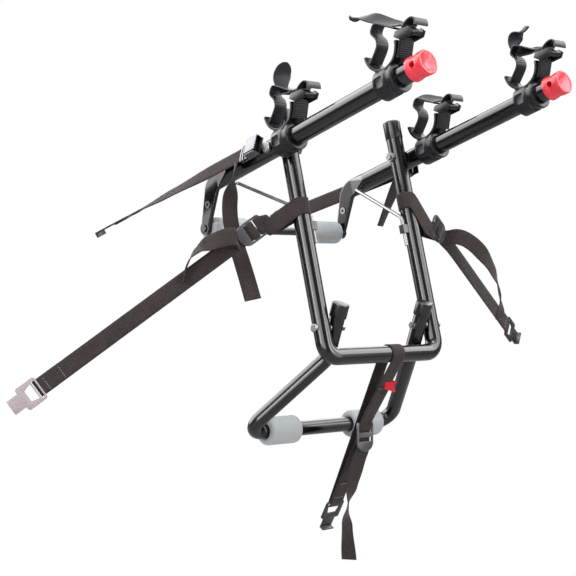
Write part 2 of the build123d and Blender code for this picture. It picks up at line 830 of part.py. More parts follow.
# Cam buckle, made with the arm along Z and the arm's side under it along Y
cam_floor = arm_radius + wrap_gap
cam_deck = arm_radius + cam_base
cam_pin_place = cam_deck + cam_pin_height
cam_inner = web_strap_width / 2 + cord_gap
with BuildPart() as cam_buckle:
    with BuildSketch(Plane.XY):
        with Locations((0, cam_deck - cam_base / 2)):
            Rectangle(cam_width, cam_base)
        with Locations((0, cam_deck / 2)):
            Rectangle(cam_foot_width, cam_deck)
        Circle(cam_floor, mode=Mode.SUBTRACT)
    extrude(amount=cam_length / 2, both=True)
    for cheek_side in (-1, 1):
        with BuildSketch(Plane.YZ.offset(cheek_side * cam_inner)):
            with Locations((cam_deck - cam_base + cam_cheek_height / 2, 0)):
                RectangleRounded(cam_cheek_height, cam_cheek_length, cam_cheek_thickness)
        extrude(amount=cheek_side * cam_cheek_thickness)
    with BuildSketch(Plane.YZ):
        with Locations((cam_pin_place, 0)):
            Circle(cam_pin_radius)
    extrude(amount=cam_inner + cam_cheek_thickness / 2, both=True)
with BuildPart() as cam_lever:
    with BuildSketch(Plane.YZ):
        with Locations((cam_pin_place, 0)):
            Circle(cam_roller_radius)
        with Locations((cam_pin_place + cam_roller_radius - cam_lever_thickness / 2, cam_lever_length / 2)):
            Rectangle(cam_lever_thickness, cam_lever_length)
        with Locations((cam_pin_place, 0)):
            Circle(cam_pin_radius + cam_fit, mode=Mode.SUBTRACT)
    extrude(amount=cam_inner - cord_gap, both=True)


def fair_radii(points):
    """Bend radii as large as the two runs at each corner allow."""
    radii = []
    for before, corner, after in zip(points, points[1:], points[2:]):
        turn = (corner - before).get_angle(after - corner)
        shorter = min((corner - before).length, (after - corner).length)
        radii.append(arc_run_share * shorter / tan(radians(turn / 2)))
    return radii


def ribbon(points, across_way, width, thickness):
    """Flat webbing along points, its width set by a direction square to it."""
    run = (points[1] - points[0]).normalized()
    broad = (across_way - run * across_way.dot(run)).normalized()
    flat = Plane(origin=points[0], x_dir=run, z_dir=broad)
    spots = [flat.to_local_coords(point) for point in points]
    with BuildPart() as strip:
        with BuildSketch(flat):
            with BuildLine():
                if len(spots) == 2:
                    Line((0, 0), (spots[1].X, spots[1].Y))
                else:
                    flat_spots = [Vector(spot.X, spot.Y) for spot in spots]
                    radii = fair_radii(flat_spots)
                    print("webbing radii", [round(radius) for radius in radii])
                    FilletPolyline(*flat_spots, radius=radii)
            trace(line_width=thickness)
        extrude(amount=width / 2, both=True)
    return strip.part


def at_hub(point):
    return Vector(*point) + pivot


def web_ribbon(points, across_way):
    return ribbon(points, across_way, web_strap_width, web_strap_thickness)


def run_plane(start, end, across_way, past=0):
    """Plane of a flat fitting at a run's end: X its width, Y onward along the run."""
    run = (end - start).normalized()
    broad = (across_way - run * across_way.dot(run)).normalized()
    return Plane(origin=end + run * past, x_dir=broad, z_dir=broad.cross(run))


def trunk_hook(plane):
    """Steel hook for the trunk's edge, from the strap's end onward."""
    neck_end = hook_plate_length + hook_neck_length
    with BuildPart() as hook:
        with BuildSketch(plane.offset(-hook_thickness / 2)):
            with Locations((0, hook_plate_length / 2)):
                RectangleRounded(hook_plate_width, hook_plate_length, hook_plate_corner)
            with Locations((0, hook_plate_length + hook_neck_length / 2 - hook_plate_corner)):
                Rectangle(hook_neck_width, hook_neck_length + 2 * hook_plate_corner)
            with Locations((0, hook_slot)):
                SlotOverall(hook_slot_width, hook_slot, mode=Mode.SUBTRACT)
            Polygon(
                (-hook_window_back / 2, 2 * hook_slot), (hook_window_back / 2, 2 * hook_slot),
                (hook_window_front / 2, 2 * hook_slot + hook_window_length),
                (-hook_window_front / 2, 2 * hook_slot + hook_window_length),
                align=None, mode=Mode.SUBTRACT,
            )
        extrude(amount=hook_thickness)
        with BuildSketch(plane.offset(hook_thickness / 2)):
            with Locations((0, neck_end - hook_thickness / 2)):
                Rectangle(hook_neck_width, hook_thickness)
        extrude(amount=-hook_lip)
    return hook.part


def ladder_lock(plane):
    with BuildPart() as lock:
        with BuildSketch(plane.offset(-lock_thickness / 2)):
            with Locations((0, lock_length / 2)):
                RectangleRounded(lock_width, lock_length, lock_corner)
            with Locations((0, lock_length / 2 - lock_slot_pitch), (0, lock_length / 2 + lock_slot_pitch)):
                SlotOverall(lock_slot_width, lock_slot, mode=Mode.SUBTRACT)
        extrude(amount=lock_thickness)
    return lock.part


# Straps from the arms' cam buckles to the hooks over the trunk's top edge
for name, side, turn, end, tail in (
    ("left", -1, cam_turn_left, top_strap_left_end, top_tail_left_route),
    ("right", 1, -cam_turn_right, top_strap_right_end, top_tail_right_route),
):
    cam_plane = arm_plane(side, cam_station, turn)
    save(placed(cam_buckle.part, cam_plane), "cam_buckle_" + name)
    save(placed(cam_lever.part, cam_plane), "cam_lever_" + name)
    strap_start = cam_plane.from_local_coords(
        Vector(0, cam_deck + web_strap_thickness, -cam_length / 2 - cord_gap))
    strap_end = at_hub(end)
    save(web_ribbon([strap_start, strap_end], cam_plane.x_dir), "top_strap_" + name)
    save(trunk_hook(run_plane(strap_start, strap_end, cam_plane.x_dir, cord_gap)), "top_hook_" + name)
    save(web_ribbon([at_hub(point) for point in tail], across), "top_tail_" + name)

# Side straps: a loop round each upright, a ladder lock, then the run to the trunk's side hook
for name, side, drop, run, tail in (
    ("left", -1, loop_drop_left, side_strap_left_run, side_tail_left_route),
    ("right", 1, loop_drop_right, side_strap_right_run, side_tail_right_route),
):
    ring_plane = frame_plane(side, drop)
    strap_start = at_hub(run[0])
    strap_end = at_hub(run[1])
    level = Vector(0, 0, 1)
    lock_plane = run_plane(strap_end, strap_start, level, cord_gap)
    lock_back = lock_plane.origin + lock_plane.y_dir * (lock_length + cord_gap)
    ring_out = frame_radius + wrap_gap + web_strap_thickness
    tab_way = lock_back - ring_plane.origin
    tab_way = (tab_way - frame_way * tab_way.dot(frame_way)).normalized()
    ring_edge = ring_plane.origin + tab_way * (ring_out - web_strap_thickness / 2)
    tab_turn = (lock_back - ring_edge).get_angle(lock_plane.y_dir)
    tab_slant = sin(radians(min(tab_turn, 180 - tab_turn))) * web_strap_width / 2
    tab_short = cord_gap + tab_slant * loop_tab_share
    tab_end = lock_back + (ring_edge - lock_back).normalized() * tab_short
    with BuildPart() as side_loop:
        with BuildSketch(ring_plane):
            Circle(ring_out)
            Circle(frame_radius + wrap_gap, mode=Mode.SUBTRACT)
        extrude(amount=web_strap_width / 2, both=True)
        add(web_ribbon([ring_edge, tab_end], frame_way))
        with BuildSketch(ring_plane):
            Circle(frame_radius + wrap_gap)
        extrude(amount=web_strap_width, both=True, mode=Mode.SUBTRACT)
    save(side_loop.part, "side_loop_" + name)
    save(ladder_lock(lock_plane), "side_buckle_" + name)
    save(web_ribbon([strap_start, strap_end], level), "side_strap_" + name)
    save(trunk_hook(run_plane(strap_start, strap_end, level, cord_gap)), "side_hook_" + name)
    save(web_ribbon([at_hub(point) for point in tail], level), "side_tail_" + name)

# Bottom strap: a sewn loop round the cross tube, its lock, the hook and the free tail
cross_tube = pivot + frame_way * frame_drop
lock_spot = at_hub(bottom_buckle_spot)
hook_spot = at_hub(bottom_hook_spot)
loop_out = frame_radius + wrap_gap + web_strap_thickness


def loop_touch(far_point, side):
    """Where a leg drawn to a point leaves the loop round the cross tube."""
    middle = Vector(bottom_front_x, cross_tube.Y, cross_tube.Z)
    reach = Vector(0, far_point.Y - middle.Y, far_point.Z - middle.Z)
    radius = loop_out - web_strap_thickness / 2 - leg_sink
    turn = degrees(acos(radius / reach.length))
    return middle + reach.normalized().rotate(Axis.X, side * turn) * radius


with BuildPart() as bottom_strap:
    with BuildSketch(Plane.YZ.offset(bottom_front_x)):
        with Locations((cross_tube.Y, cross_tube.Z)):
            Circle(loop_out)
    extrude(amount=web_strap_width / 2, both=True)
    leg_end = Vector(bottom_front_x, lock_spot.Y, lock_spot.Z + lock_length / 2 + 3 * cord_gap)
    rear_end = hook_spot + Vector(0, 2 * web_strap_thickness, 0)
    add(web_ribbon([loop_touch(leg_end, -1), leg_end], across))
    add(web_ribbon([loop_touch(rear_end, 1), rear_end], across))
    with BuildSketch(Plane.YZ.offset(bottom_front_x)):
        with Locations((cross_tube.Y, cross_tube.Z)):
            Circle(frame_radius + wrap_gap)
    extrude(amount=web_strap_width, both=True, mode=Mode.SUBTRACT)
save(bottom_strap.part, "bottom_strap")
print("pivot", pivot, "lower pivot", lower_pivot, "crossbar", crossbar)
lock_top = leg_end - Vector(0, 0, 3 * cord_gap)
save(ladder_lock(Plane(origin=lock_top, x_dir=across * -1, z_dir=(0, -1, 0))), "bottom_buckle")
run_start = Vector(bottom_front_x, lock_spot.Y + lock_thickness / 2 + web_strap_thickness, lock_spot.Z)
save(web_ribbon([run_start, hook_spot], across), "bottom_run")
save(trunk_hook(run_plane(run_start, hook_spot, across, cord_gap)), "bottom_hook")
save(web_ribbon([at_hub(point) for point in bottom_tail_route], across), "bottom_tail")
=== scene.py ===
import bpy
import json
from math import acos, atan2, cos, pi, radians, sin, sqrt
from mathutils import Matrix, Vector

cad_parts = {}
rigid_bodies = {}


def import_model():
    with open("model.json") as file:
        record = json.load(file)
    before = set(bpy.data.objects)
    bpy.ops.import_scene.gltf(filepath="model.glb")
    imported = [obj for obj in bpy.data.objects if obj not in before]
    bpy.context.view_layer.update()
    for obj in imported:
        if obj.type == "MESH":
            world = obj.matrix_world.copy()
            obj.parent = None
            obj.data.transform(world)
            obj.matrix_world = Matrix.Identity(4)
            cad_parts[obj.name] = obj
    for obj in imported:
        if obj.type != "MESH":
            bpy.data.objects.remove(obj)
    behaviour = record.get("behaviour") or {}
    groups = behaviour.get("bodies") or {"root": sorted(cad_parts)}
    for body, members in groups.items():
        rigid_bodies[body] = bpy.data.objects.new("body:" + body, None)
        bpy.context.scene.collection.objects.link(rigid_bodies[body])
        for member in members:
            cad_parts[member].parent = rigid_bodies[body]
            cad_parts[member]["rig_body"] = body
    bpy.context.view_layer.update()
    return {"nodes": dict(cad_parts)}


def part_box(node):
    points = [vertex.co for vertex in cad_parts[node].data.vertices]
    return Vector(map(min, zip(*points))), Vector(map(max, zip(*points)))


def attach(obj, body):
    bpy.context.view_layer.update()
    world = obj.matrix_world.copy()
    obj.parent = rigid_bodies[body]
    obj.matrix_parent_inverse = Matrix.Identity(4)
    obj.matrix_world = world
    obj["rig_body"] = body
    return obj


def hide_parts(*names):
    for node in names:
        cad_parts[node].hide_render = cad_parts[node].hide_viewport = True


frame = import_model()
scene = bpy.context.scene
bpy.ops.object.select_all(action="DESELECT")

mm = 0.001
# the rack's driving sizes in mm, and how far its arms and folding frame lean, in degrees
rack = dict(armX=142.9, armTilt=17, frameX=114.35, frameTilt=14.7, frameRadius=12.7, frameDrop=309.2,
            webWidth=25.4, webThick=1.6)
pivot = Vector((0, -156.507, 111.958))           # the hub between arms and folding frame, in mm
armTilt, frameTilt = radians(rack["armTilt"]), radians(rack["frameTilt"])
acrossWay = Vector((1, 0, 0))
armWay = Vector((0, -cos(armTilt), sin(armTilt)))
armUp = Vector((0, sin(armTilt), cos(armTilt)))
frameWay = Vector((0, -sin(frameTilt), -cos(frameTilt)))
levelUp = Vector((0, 0, 1))
forward = Vector((0, -1, 0))

# the camera as fitted to the photograph: mm, degrees, and metres for its place
view = dict(lens=92.456, film=36, turn=-42.24, tip=-0.18, roll=-0.05, place=(-1.5611, -1.7468, -0.0831))
lensData = bpy.data.cameras.new("camera")
lensData.lens, lensData.sensor_width = view["lens"], view["film"]
camera = bpy.data.objects.new("camera", lensData)
scene.collection.objects.link(camera)
cameraTurn, cameraTip, cameraRoll = (radians(view[key]) for key in ("turn", "tip", "roll"))
lookWay = Vector((-sin(cameraTurn) * cos(cameraTip), cos(cameraTurn) * cos(cameraTip), sin(cameraTip)))
rightWay = Vector((cos(cameraTurn), sin(cameraTurn), 0))
upWay = rightWay.cross(lookWay)
rolledRight = rightWay * cos(cameraRoll) + upWay * sin(cameraRoll)
rolledUp = upWay * cos(cameraRoll) - rightWay * sin(cameraRoll)
cameraPlace = Matrix((rolledRight, rolledUp, -lookWay)).transposed().to_4x4()
cameraPlace.translation = view["place"]
camera.matrix_world = cameraPlace
scene.camera = camera
scene.view_settings.view_transform = "Standard"
print("camera placed")


def hexColour(code):                             # sRGB to linear
    channels = [int(code[i:i + 2], 16) / 255 for i in (0, 2, 4)]
    linear = [c / 12.92 if c <= 0.04045 else ((c + 0.055) / 1.055) ** 2.4 for c in channels]
    return (*linear, 1)


def addNode(tree, kind, links=None, **settings):
    node = tree.nodes.new(kind)
    for key, value in settings.items():
        if hasattr(node, key):
            setattr(node, key, value)
        else:
            node.inputs[key.replace("_", " ")].default_value = value
    for socket, source in (links or {}).items():
        tree.links.new(source, node.inputs[socket])
    return node


def surface(name, colour, rough, metal=0.0):
    material = bpy.data.materials.new(name)
    material.use_nodes = True
    shader = material.node_tree.nodes["Principled BSDF"]
    shader.inputs["Base Color"].default_value = hexColour(colour)
    shader.inputs["Roughness"].default_value = rough
    shader.inputs["Metallic"].default_value = metal
    return material, material.node_tree, shader


patchSize = dict(plain=28.6, webbing=16.7)       # soft patches of lighter colour and wear, in mm


def plainFinish(name, dark, light, rough, grain, shine=0.5, metal=0.0):
    # rough: least and most roughness. grain: its size and height in mm, and its strength
    material, tree, shader = surface(name, dark, rough[0], metal)
    shader.inputs["Specular IOR Level"].default_value = shine
    place = addNode(tree, "ShaderNodeTexCoord").outputs["Object"]
    patches = addNode(tree, "ShaderNodeTexNoise", {"Vector": place},
                      Scale=1 / (patchSize["plain"] * mm), Detail=4.0)
    tint = addNode(tree, "ShaderNodeMix", {"Factor": patches.outputs["Fac"]}, data_type="RGBA")
    tint.inputs[6].default_value, tint.inputs[7].default_value = hexColour(dark), hexColour(light)
    tree.links.new(tint.outputs[2], shader.inputs["Base Color"])
    polish = addNode(tree, "ShaderNodeMapRange", {"Value": patches.outputs["Fac"]},
                     To_Min=rough[0], To_Max=rough[1])
    tree.links.new(polish.outputs["Result"], shader.inputs["Roughness"])
    grainSize, grainHigh, strength = grain
    fine = addNode(tree, "ShaderNodeTexNoise", {"Vector": place}, Scale=1 / (grainSize * mm), Detail=3.0)
    bump = addNode(tree, "ShaderNodeBump", {"Height": fine.outputs["Fac"]},
                   Strength=strength, Distance=grainHigh * mm)
    tree.links.new(bump.outputs["Normal"], shader.inputs["Normal"])
    return material


# gloss enamel sprayed on steel tube: deep black, long sharp glints, a faint peel
tubePaint = plainFinish("tubePaint", "050507", "0C0C0F", (0.14, 0.22), (1.11, 0.04, 0.1), shine=0.42)
# dipped soft vinyl: smooth black with a broader shine than the paint
blackCap = plainFinish("blackCap", "0C0C0E", "151518", (0.2, 0.3), (0.71, 0.05, 0.15), shine=0.4)
# moulded red vinyl: a clear even red with a soft shine
redCap = plainFinish("redCap", "D92233", "E83B49", (0.32, 0.44), (0.67, 0.06, 0.2))
# nylon moulded in a finely eroded tool: dark, with dull edges
cradlePlastic = plainFinish("cradlePlastic", "0F0E12", "19181D", (0.28, 0.40), (0.45, 0.08, 0.3), shine=0.24)
# moulded rubber: duller and a little paler than the nylon
strapRubber = plainFinish("strapRubber", "1A191E", "26252B", (0.36, 0.48), (0.38, 0.1, 0.35), shine=0.24)
# closed cell foam: matt light grey, its cells drawn 0.7 mm wide so that they show
padFoam = plainFinish("padFoam", "9EA2A5", "B2B6B8", (0.78, 0.92), (0.67, 0.5, 0.55))
# bright zinc plating on rods and bolts: cool grey metal with a soft gleam
zincPlate = plainFinish("zincPlate", "646568", "7D7E80", (0.3, 0.44), (0.91, 0.05, 0.2), metal=1.0)
# stamped and tumbled steel: a darker grey metal, satin all over
buckleSteel = plainFinish("buckleSteel", "54555A", "6C6D70", (0.36, 0.5), (1.11, 0.06, 0.2), metal=1.0)
# steel hooks: four with a baked black coat, and one bare, which looks pale and flat
hookBlack = plainFinish("hookBlack", "0F0F11", "19191B", (0.26, 0.4), (0.83, 0.08, 0.25), shine=0.45)
hookBare = plainFinish("hookBare", "A0969A", "ACA2A6", (0.5, 0.6), (1.25, 0.02, 0.04), shine=0.1)
# moulded dark grey acetal: smooth, with a wide highlight
lockPlastic = plainFinish("lockPlastic", "39373A", "4B484B", (0.26, 0.38), (0.56, 0.06, 0.2))
# woven label cloth and polyester thread: pale and matt
labelCloth = plainFinish("labelCloth", "9A9795", "ACA9A7", (0.6, 0.75), (0.42, 0.1, 0.4))
threadPale = plainFinish("threadPale", "8F8784", "A59D99", (0.55, 0.7), (0.33, 0.05, 0.3))

# polypropylene webbing, woven flat: matt, with a fine grid darkest between the yarns as painted shade.
# rows across it and yarns along it are drawn a little coarse, in mm, so that they show
weave = dict(rows=2.4, yarns=2.6, high=0.4)


def wovenFinish(name, dark, light):              # on the piece's own map in metres
    material, tree, shader = surface(name, dark, 0.7)
    seam = addNode(tree, "ShaderNodeUVMap", uv_map="weave").outputs["UV"]
    place = addNode(tree, "ShaderNodeTexCoord").outputs["Object"]
    rows = addNode(tree, "ShaderNodeTexWave", {"Vector": seam}, bands_direction="Y",
                   Scale=2 * pi / (20 * weave["rows"] * mm), Distortion=0.4, Detail=1.0)
    yarns = addNode(tree, "ShaderNodeTexWave", {"Vector": seam}, bands_direction="X",
                    Scale=2 * pi / (20 * weave["yarns"] * mm), Distortion=0.3, Detail=1.0)
    crossing = addNode(tree, "ShaderNodeMath", {0: rows.outputs["Fac"], 1: yarns.outputs["Fac"]},
                       operation="MULTIPLY")
    patches = addNode(tree, "ShaderNodeTexNoise", {"Vector": place},
                      Scale=1 / (patchSize["webbing"] * mm), Detail=5.0)
    # the yarn grid darkens the colour where the weave sinks, painted shade in its hollows; the patches vary
    # the tone at random
    share = addNode(tree, "ShaderNodeMath", {0: crossing.outputs[0], 1: patches.outputs["Fac"]},
                    operation="MULTIPLY_ADD")
    share.inputs[2].default_value = 0.15
    tint = addNode(tree, "ShaderNodeMix", {"Factor": share.outputs[0]}, data_type="RGBA")
    tint.inputs[6].default_value, tint.inputs[7].default_value = hexColour(dark), hexColour(light)
    tree.links.new(tint.outputs[2], shader.inputs["Base Color"])
    bump = addNode(tree, "ShaderNodeBump", {"Height": crossing.outputs[0]},
                   Strength=0.35, Distance=weave["high"] * mm)
    tree.links.new(bump.outputs["Normal"], shader.inputs["Normal"])
    shader.inputs["Specular IOR Level"].default_value = 0.06
    shader.inputs["Sheen Weight"].default_value = 0.1
    shader.inputs["Sheen Roughness"].default_value = 0.5
    return material


blackWebbing = wovenFinish("blackWebbing", "231F1E", "574E4C")
redWebbing = wovenFinish("redWebbing", "C81E30", "EE4152")
print("materials made")


def bodyOf(nodeName):
    return frame["nodes"][nodeName]["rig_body"]


def activate(piece):
    bpy.ops.object.select_all(action="DESELECT")
    piece.select_set(True)
    bpy.context.view_layer.objects.active = piece


def editMesh(*steps):
    bpy.ops.object.mode_set(mode="EDIT")
    for step in steps:
        step()
    bpy.ops.object.mode_set(mode="OBJECT")


def selectAll():
    bpy.ops.mesh.select_all(action="SELECT")


def mergeDoubles():
    bpy.ops.mesh.remove_doubles(threshold=0.01 * mm)


def faceOutwards():
    bpy.ops.mesh.normals_make_consistent(inside=False)


def selectFaces(piece, wanted):
    activate(piece)
    editMesh(lambda: bpy.ops.mesh.select_mode(type="FACE"),
             lambda: bpy.ops.mesh.select_all(action="DESELECT"))
    for face in piece.data.polygons:
        face.select = wanted(face)


def shadeSmooth(piece, angle=35):
    activate(piece)
    bpy.ops.object.shade_smooth_by_angle(angle=radians(angle))


def finishPiece(piece, material, body, nodes=(), smooth=35):
    shadeSmooth(piece, smooth)
    piece.data.materials.clear()
    piece.data.materials.append(material)
    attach(piece, body)
    if nodes:
        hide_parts(*nodes)
    return piece


def bevelPiece(piece, width, segments=2, angle=40):    # width in mm, and the least angle of an edge
    activate(piece)
    edge = piece.modifiers.new("edge", "BEVEL")
    edge.width, edge.segments = width * mm, segments
    edge.limit_method, edge.angle_limit = "ANGLE", radians(angle)
    bpy.ops.object.modifier_apply(modifier=edge.name)


def dress(nodeName, pieceName, material, broken=0.0):
    # a merged copy of a solid's mesh, with its edges broken by a small bevel
    piece = frame["nodes"][nodeName].copy()
    piece.data = piece.data.copy()
    piece.name, piece.parent = pieceName, None
    for key in list(piece.keys()):
        del piece[key]
    scene.collection.objects.link(piece)
    activate(piece)
    editMesh(selectAll, mergeDoubles, lambda: bpy.ops.mesh.dissolve_limited(angle_limit=radians(0.6)))
    if broken:
        bevelPiece(piece, broken)
    return finishPiece(piece, material, bodyOf(nodeName), [nodeName])


def hub(spot):                                   # from mm off the hub to the frame's metres
    return (Vector(spot) + pivot) * mm


def pieceFrom(name, points, faces):
    mesh = bpy.data.meshes.new(name)
    mesh.from_pydata([tuple(point) for point in points], [], faces)
    mesh.validate()
    piece = bpy.data.objects.new(name, mesh)
    scene.collection.objects.link(piece)
    activate(piece)
    return piece


def smoothRoute(spots):                          # a smooth line led by the given spots
    if len(spots) == 2:
        spots = [spots[0].lerp(spots[1], share) for share in (0, 0.25, 0.5, 0.75, 1)]
    curve = bpy.data.curves.new("route", "CURVE")
    curve.dimensions = "3D"
    curve.resolution_u = 16
    line = curve.splines.new("NURBS")
    line.points.add(len(spots) - 1)
    for point, spot in zip(line.points, spots):
        point.co = (*spot, 1)
    line.order_u = 3
    line.use_endpoint_u = True
    holder = bpy.data.objects.new("route", curve)
    mesh = bpy.data.meshes.new_from_object(holder)
    path = [vertex.co.copy() for vertex in mesh.vertices]
    bpy.data.objects.remove(holder)
    bpy.data.meshes.remove(mesh)
    bpy.data.curves.remove(curve)
    return path


def squareTo(way, run):
    return (way - run * way.dot(run)).normalized()


def steady(way):                                 # one direction from end to end
    return [(0, way.copy()), (1, way.copy())]


def keyed(keys, share):                          # eased between the keys on either side
    for (low, a), (high, b) in zip(keys, keys[1:]):
        if share <= high:
            part = (share - low) / (high - low) if high > low else 0
            part = part * part * (3 - 2 * part)
            return a * (1 - part) + b * part
    return keys[-1][1]


def lengthsAlong(path):
    run = [0.0]
    for a, b in zip(path, path[1:]):
        run.append(run[-1] + (b - a).length)
    return run


def evenRows(path, run, spacing):
    total, count = run[-1], int(run[-1] / spacing)
    rows, j = [], 0
    for i in range(count + 1):
        want = total * i / count
        while j < len(run) - 2 and run[j + 1] < want:
            j += 1
        rows.append(path[j].lerp(path[j + 1], (want - run[j]) / max(run[j + 1] - run[j], 1e-9)))
    return rows, [total * i / count for i in range(count + 1)]


# outline of a flat band: share of half the width, share of half the thickness
bandTop = [(-0.955, 1), (-0.6, 1), (-0.2, 1), (0.2, 1), (0.6, 1), (0.955, 1), (1, 0.35)]
bandOutline = bandTop + [(1, -0.35), *((a, -b) for a, b in reversed(bandTop[:-1])), (-1, -0.35), (-1, 0.35)]


def band(name, path, wideKeys, width, thick, widthKeys=((0, 1), (1, 1)), tip=0.0, ribs=None, cup=0.0):
    # a flat band along a path, sizes in mm. wideKeys: the direction of its width by share of its length.
    # tip: length of the rounded end. cup: how far its edges curl up
    width, thick, tip, cup = width * mm, thick * mm, tip * mm, cup * mm
    run = lengthsAlong(path)
    if ribs:
        path, run = evenRows(path, run, ribs["pitch"] * mm / 4)    # four rows to a rib, two of them raised
    total, last, side = run[-1], len(path) - 1, len(bandOutline)
    points = []
    for i, spot in enumerate(path):
        share = run[i] / total
        onward = (path[min(i + 1, last)] - path[max(i - 1, 0)]).normalized()
        wide = squareTo(keyed(wideKeys, share), onward)
        outward = wide.cross(onward)
        half = width / 2 * keyed(widthKeys, share)
        if tip and total - run[i] < tip:         # a round end
            half *= sqrt(max(1 - (1 - (total - run[i]) / tip) ** 2, 0.02))
        onRib = ribs and ribs["start"] <= share <= ribs["end"] and i % 4 in (1, 2)
        for a, b in bandOutline:
            lift = b * thick / 2 + cup * (a * a - 0.4)
            if onRib and b == 1 and abs(a) < 0.9:
                lift += ribs["high"] * mm
            points.append(spot + wide * (a * half) + outward * lift)
    faces = [(i * side + k, i * side + (k + 1) % side, (i + 1) * side + (k + 1) % side, (i + 1) * side + k)
             for i in range(last) for k in range(side)]
    faces += [tuple(reversed(range(side))), tuple(last * side + k for k in range(side))]
    piece = pieceFrom(name, points, faces)
    webMap = piece.data.uv_layers.new(name="weave")
    for corner in piece.data.loops:
        a = bandOutline[corner.vertex_index % side][0]
        webMap.data[corner.index].uv = (a * width / 2, run[corner.vertex_index // side])
    editMesh(selectAll, faceOutwards)
    return piece


# stitches in mm, and the bulge of one by shares of its length and girth
stitch = dict(pitch=3.2, long=2.3, thick=0.7, sunk=0.105, sides=8,
              bulge=((-0.5, 0.35), (-0.35, 0.85), (0, 1), (0.35, 0.85), (0.5, 0.35)))


def stitchRow(name, start, end, normal, body):
    points, faces = [], []
    way = (end - start).normalized()
    across = normal.cross(way).normalized()
    sides, rings = stitch["sides"], len(stitch["bulge"])
    for i in range(int((end - start).length / (stitch["pitch"] * mm))):
        centre = start + way * (stitch["pitch"] * mm * (i + 0.5)) + normal * stitch["sunk"] * mm
        base = len(points)
        for along, girth in stitch["bulge"]:
            for k in range(sides):
                turn = 2 * pi * k / sides
                out = across * cos(turn) + normal * sin(turn)
                points.append(centre + way * (along * stitch["long"] * mm)
                              + out * (stitch["thick"] / 2 * mm * girth))
        for ring in range(rings - 1):
            row, after = base + ring * sides, base + (ring + 1) * sides
            for k in range(sides):
                beside = (k + 1) % sides
                faces.append((row + k, row + beside, after + beside, after + k))
        faces.append(tuple(base + k for k in reversed(range(sides))))
        faces.append(tuple(base + (rings - 1) * sides + k for k in range(sides)))
    piece = pieceFrom(name, points, faces)
    editMesh(selectAll, faceOutwards)
    return finishPiece(piece, threadPale, body)


# solids that are shown as they are
keptFinish = {
    "arm_left": tubePaint, "arm_right": tubePaint, "upper_bar": tubePaint, "main_frame": tubePaint,
    "lower_frame": tubePaint, "brace_left": zincPlate, "brace_right": zincPlate, "pivot_bolts": zincPlate,
    "hub_bolts": zincPlate, "hub_washers": blackCap, "arm_eyelets": zincPlate, "brace_clips": blackCap,
}
for nodeName, node in frame["nodes"].items():
    node.data.materials.clear()
    node.data.materials.append(keptFinish.get(nodeName, cradlePlastic))

# how far the edges of the dressed solids are broken, in mm
bevel = dict(blackCap=0.6, cradle=0.7, buckle=0.4, camLever=0.3, hook=0.5)
capDish = dict(rim=2.2, slope=0.9, depth=0.7, edge=0.4)    # the shallow dish in the red caps' faces, in mm
for side in ("left", "right"):
    endCap = dress("end_cap_" + side, "endCap_" + side, redCap)
    front = max(face.center.dot(armWay) for face in endCap.data.polygons)
    selectFaces(endCap, lambda face: face.normal.dot(armWay) > 0.99
                and face.center.dot(armWay) > front - 0.5 * mm)
    editMesh(lambda: bpy.ops.mesh.inset(thickness=capDish["rim"] * mm, depth=0),
             lambda: bpy.ops.mesh.inset(thickness=capDish["slope"] * mm, depth=-capDish["depth"] * mm))
    bevelPiece(endCap, capDish["edge"])
    shadeSmooth(endCap)
dress("upright_caps", "uprightCaps", blackCap, bevel["blackCap"])
dress("stub_caps", "stubCaps", blackCap, bevel["blackCap"])
print("caps dressed")

# soft: how far the rim is rounded. dish: how far the end faces sink, all in mm
upperPad = dict(long=75, diameter=36, bore=6.5, soft=4, dish=0.8)
lowerPad = dict(long=62, diameter=42, bore=11.25, soft=6, dish=0.8, places=(-84, 90))
lowerTube = (-101.541, -302.466)                 # y and z of the lower frame's cross tube


def foamPad(x, centre, size):
    outer, bore, soft = size["diameter"] / 2, size["bore"], size["soft"]
    bpy.ops.mesh.primitive_cylinder_add(vertices=72, radius=outer * mm, depth=size["long"] * mm,
                                        location=Vector((x, *centre)) * mm, rotation=(0, pi / 2, 0))
    pad = bpy.context.object
    bpy.ops.object.transform_apply(location=True, rotation=True, scale=True)
    selectFaces(pad, lambda face: len(face.vertices) > 4)
    bpy.ops.object.mode_set(mode="EDIT")
    for share in (0.35, 0.65):
        bpy.ops.mesh.inset(thickness=soft * share * mm, depth=0, use_boundary=True)
    bpy.ops.mesh.inset(thickness=(outer - bore - soft) * mm, depth=0)
    bpy.ops.mesh.delete(type="ONLY_FACE")
    bpy.ops.mesh.select_mode(type="EDGE")
    bpy.ops.mesh.select_non_manifold(extend=False)
    bpy.ops.mesh.bridge_edge_loops()             # the bore
    bpy.ops.object.mode_set(mode="OBJECT")
    for vertex in pad.data.vertices:             # rounded rim and slightly dished ends
        outward = 1 if vertex.co.x > x * mm else -1
        inside = outer - (vertex.co / mm - Vector((x, *centre))).yz.length
        back = 0
        if inside < 0.01:
            back = soft * 0.8
        elif inside < soft - 0.01:
            back = (soft - inside) * 0.35
        elif inside > soft + 1:
            back = size["dish"]
        vertex.co.x -= outward * back * mm
    bevelPiece(pad, 1.2, 3, 25)
    return pad


for side in ("left", "right"):
    low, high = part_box("upper_pad_" + side)
    middle = (low + high) / 2 / mm
    pad = foamPad(middle.x, (middle.y, middle.z), upperPad)
    pad.name = "padUpper" + side.capitalize()
    finishPiece(pad, padFoam, bodyOf("upper_pad_" + side), ["upper_pad_" + side])
lowerPads = [foamPad(x, lowerTube, lowerPad) for x in lowerPad["places"]]
activate(lowerPads[0])
lowerPads[1].select_set(True)
bpy.ops.object.join()
lowerPads[0].name = "padsLower"
finishPiece(lowerPads[0], padFoam, bodyOf("lower_pads"), ["lower_pads"])
print("pads made")

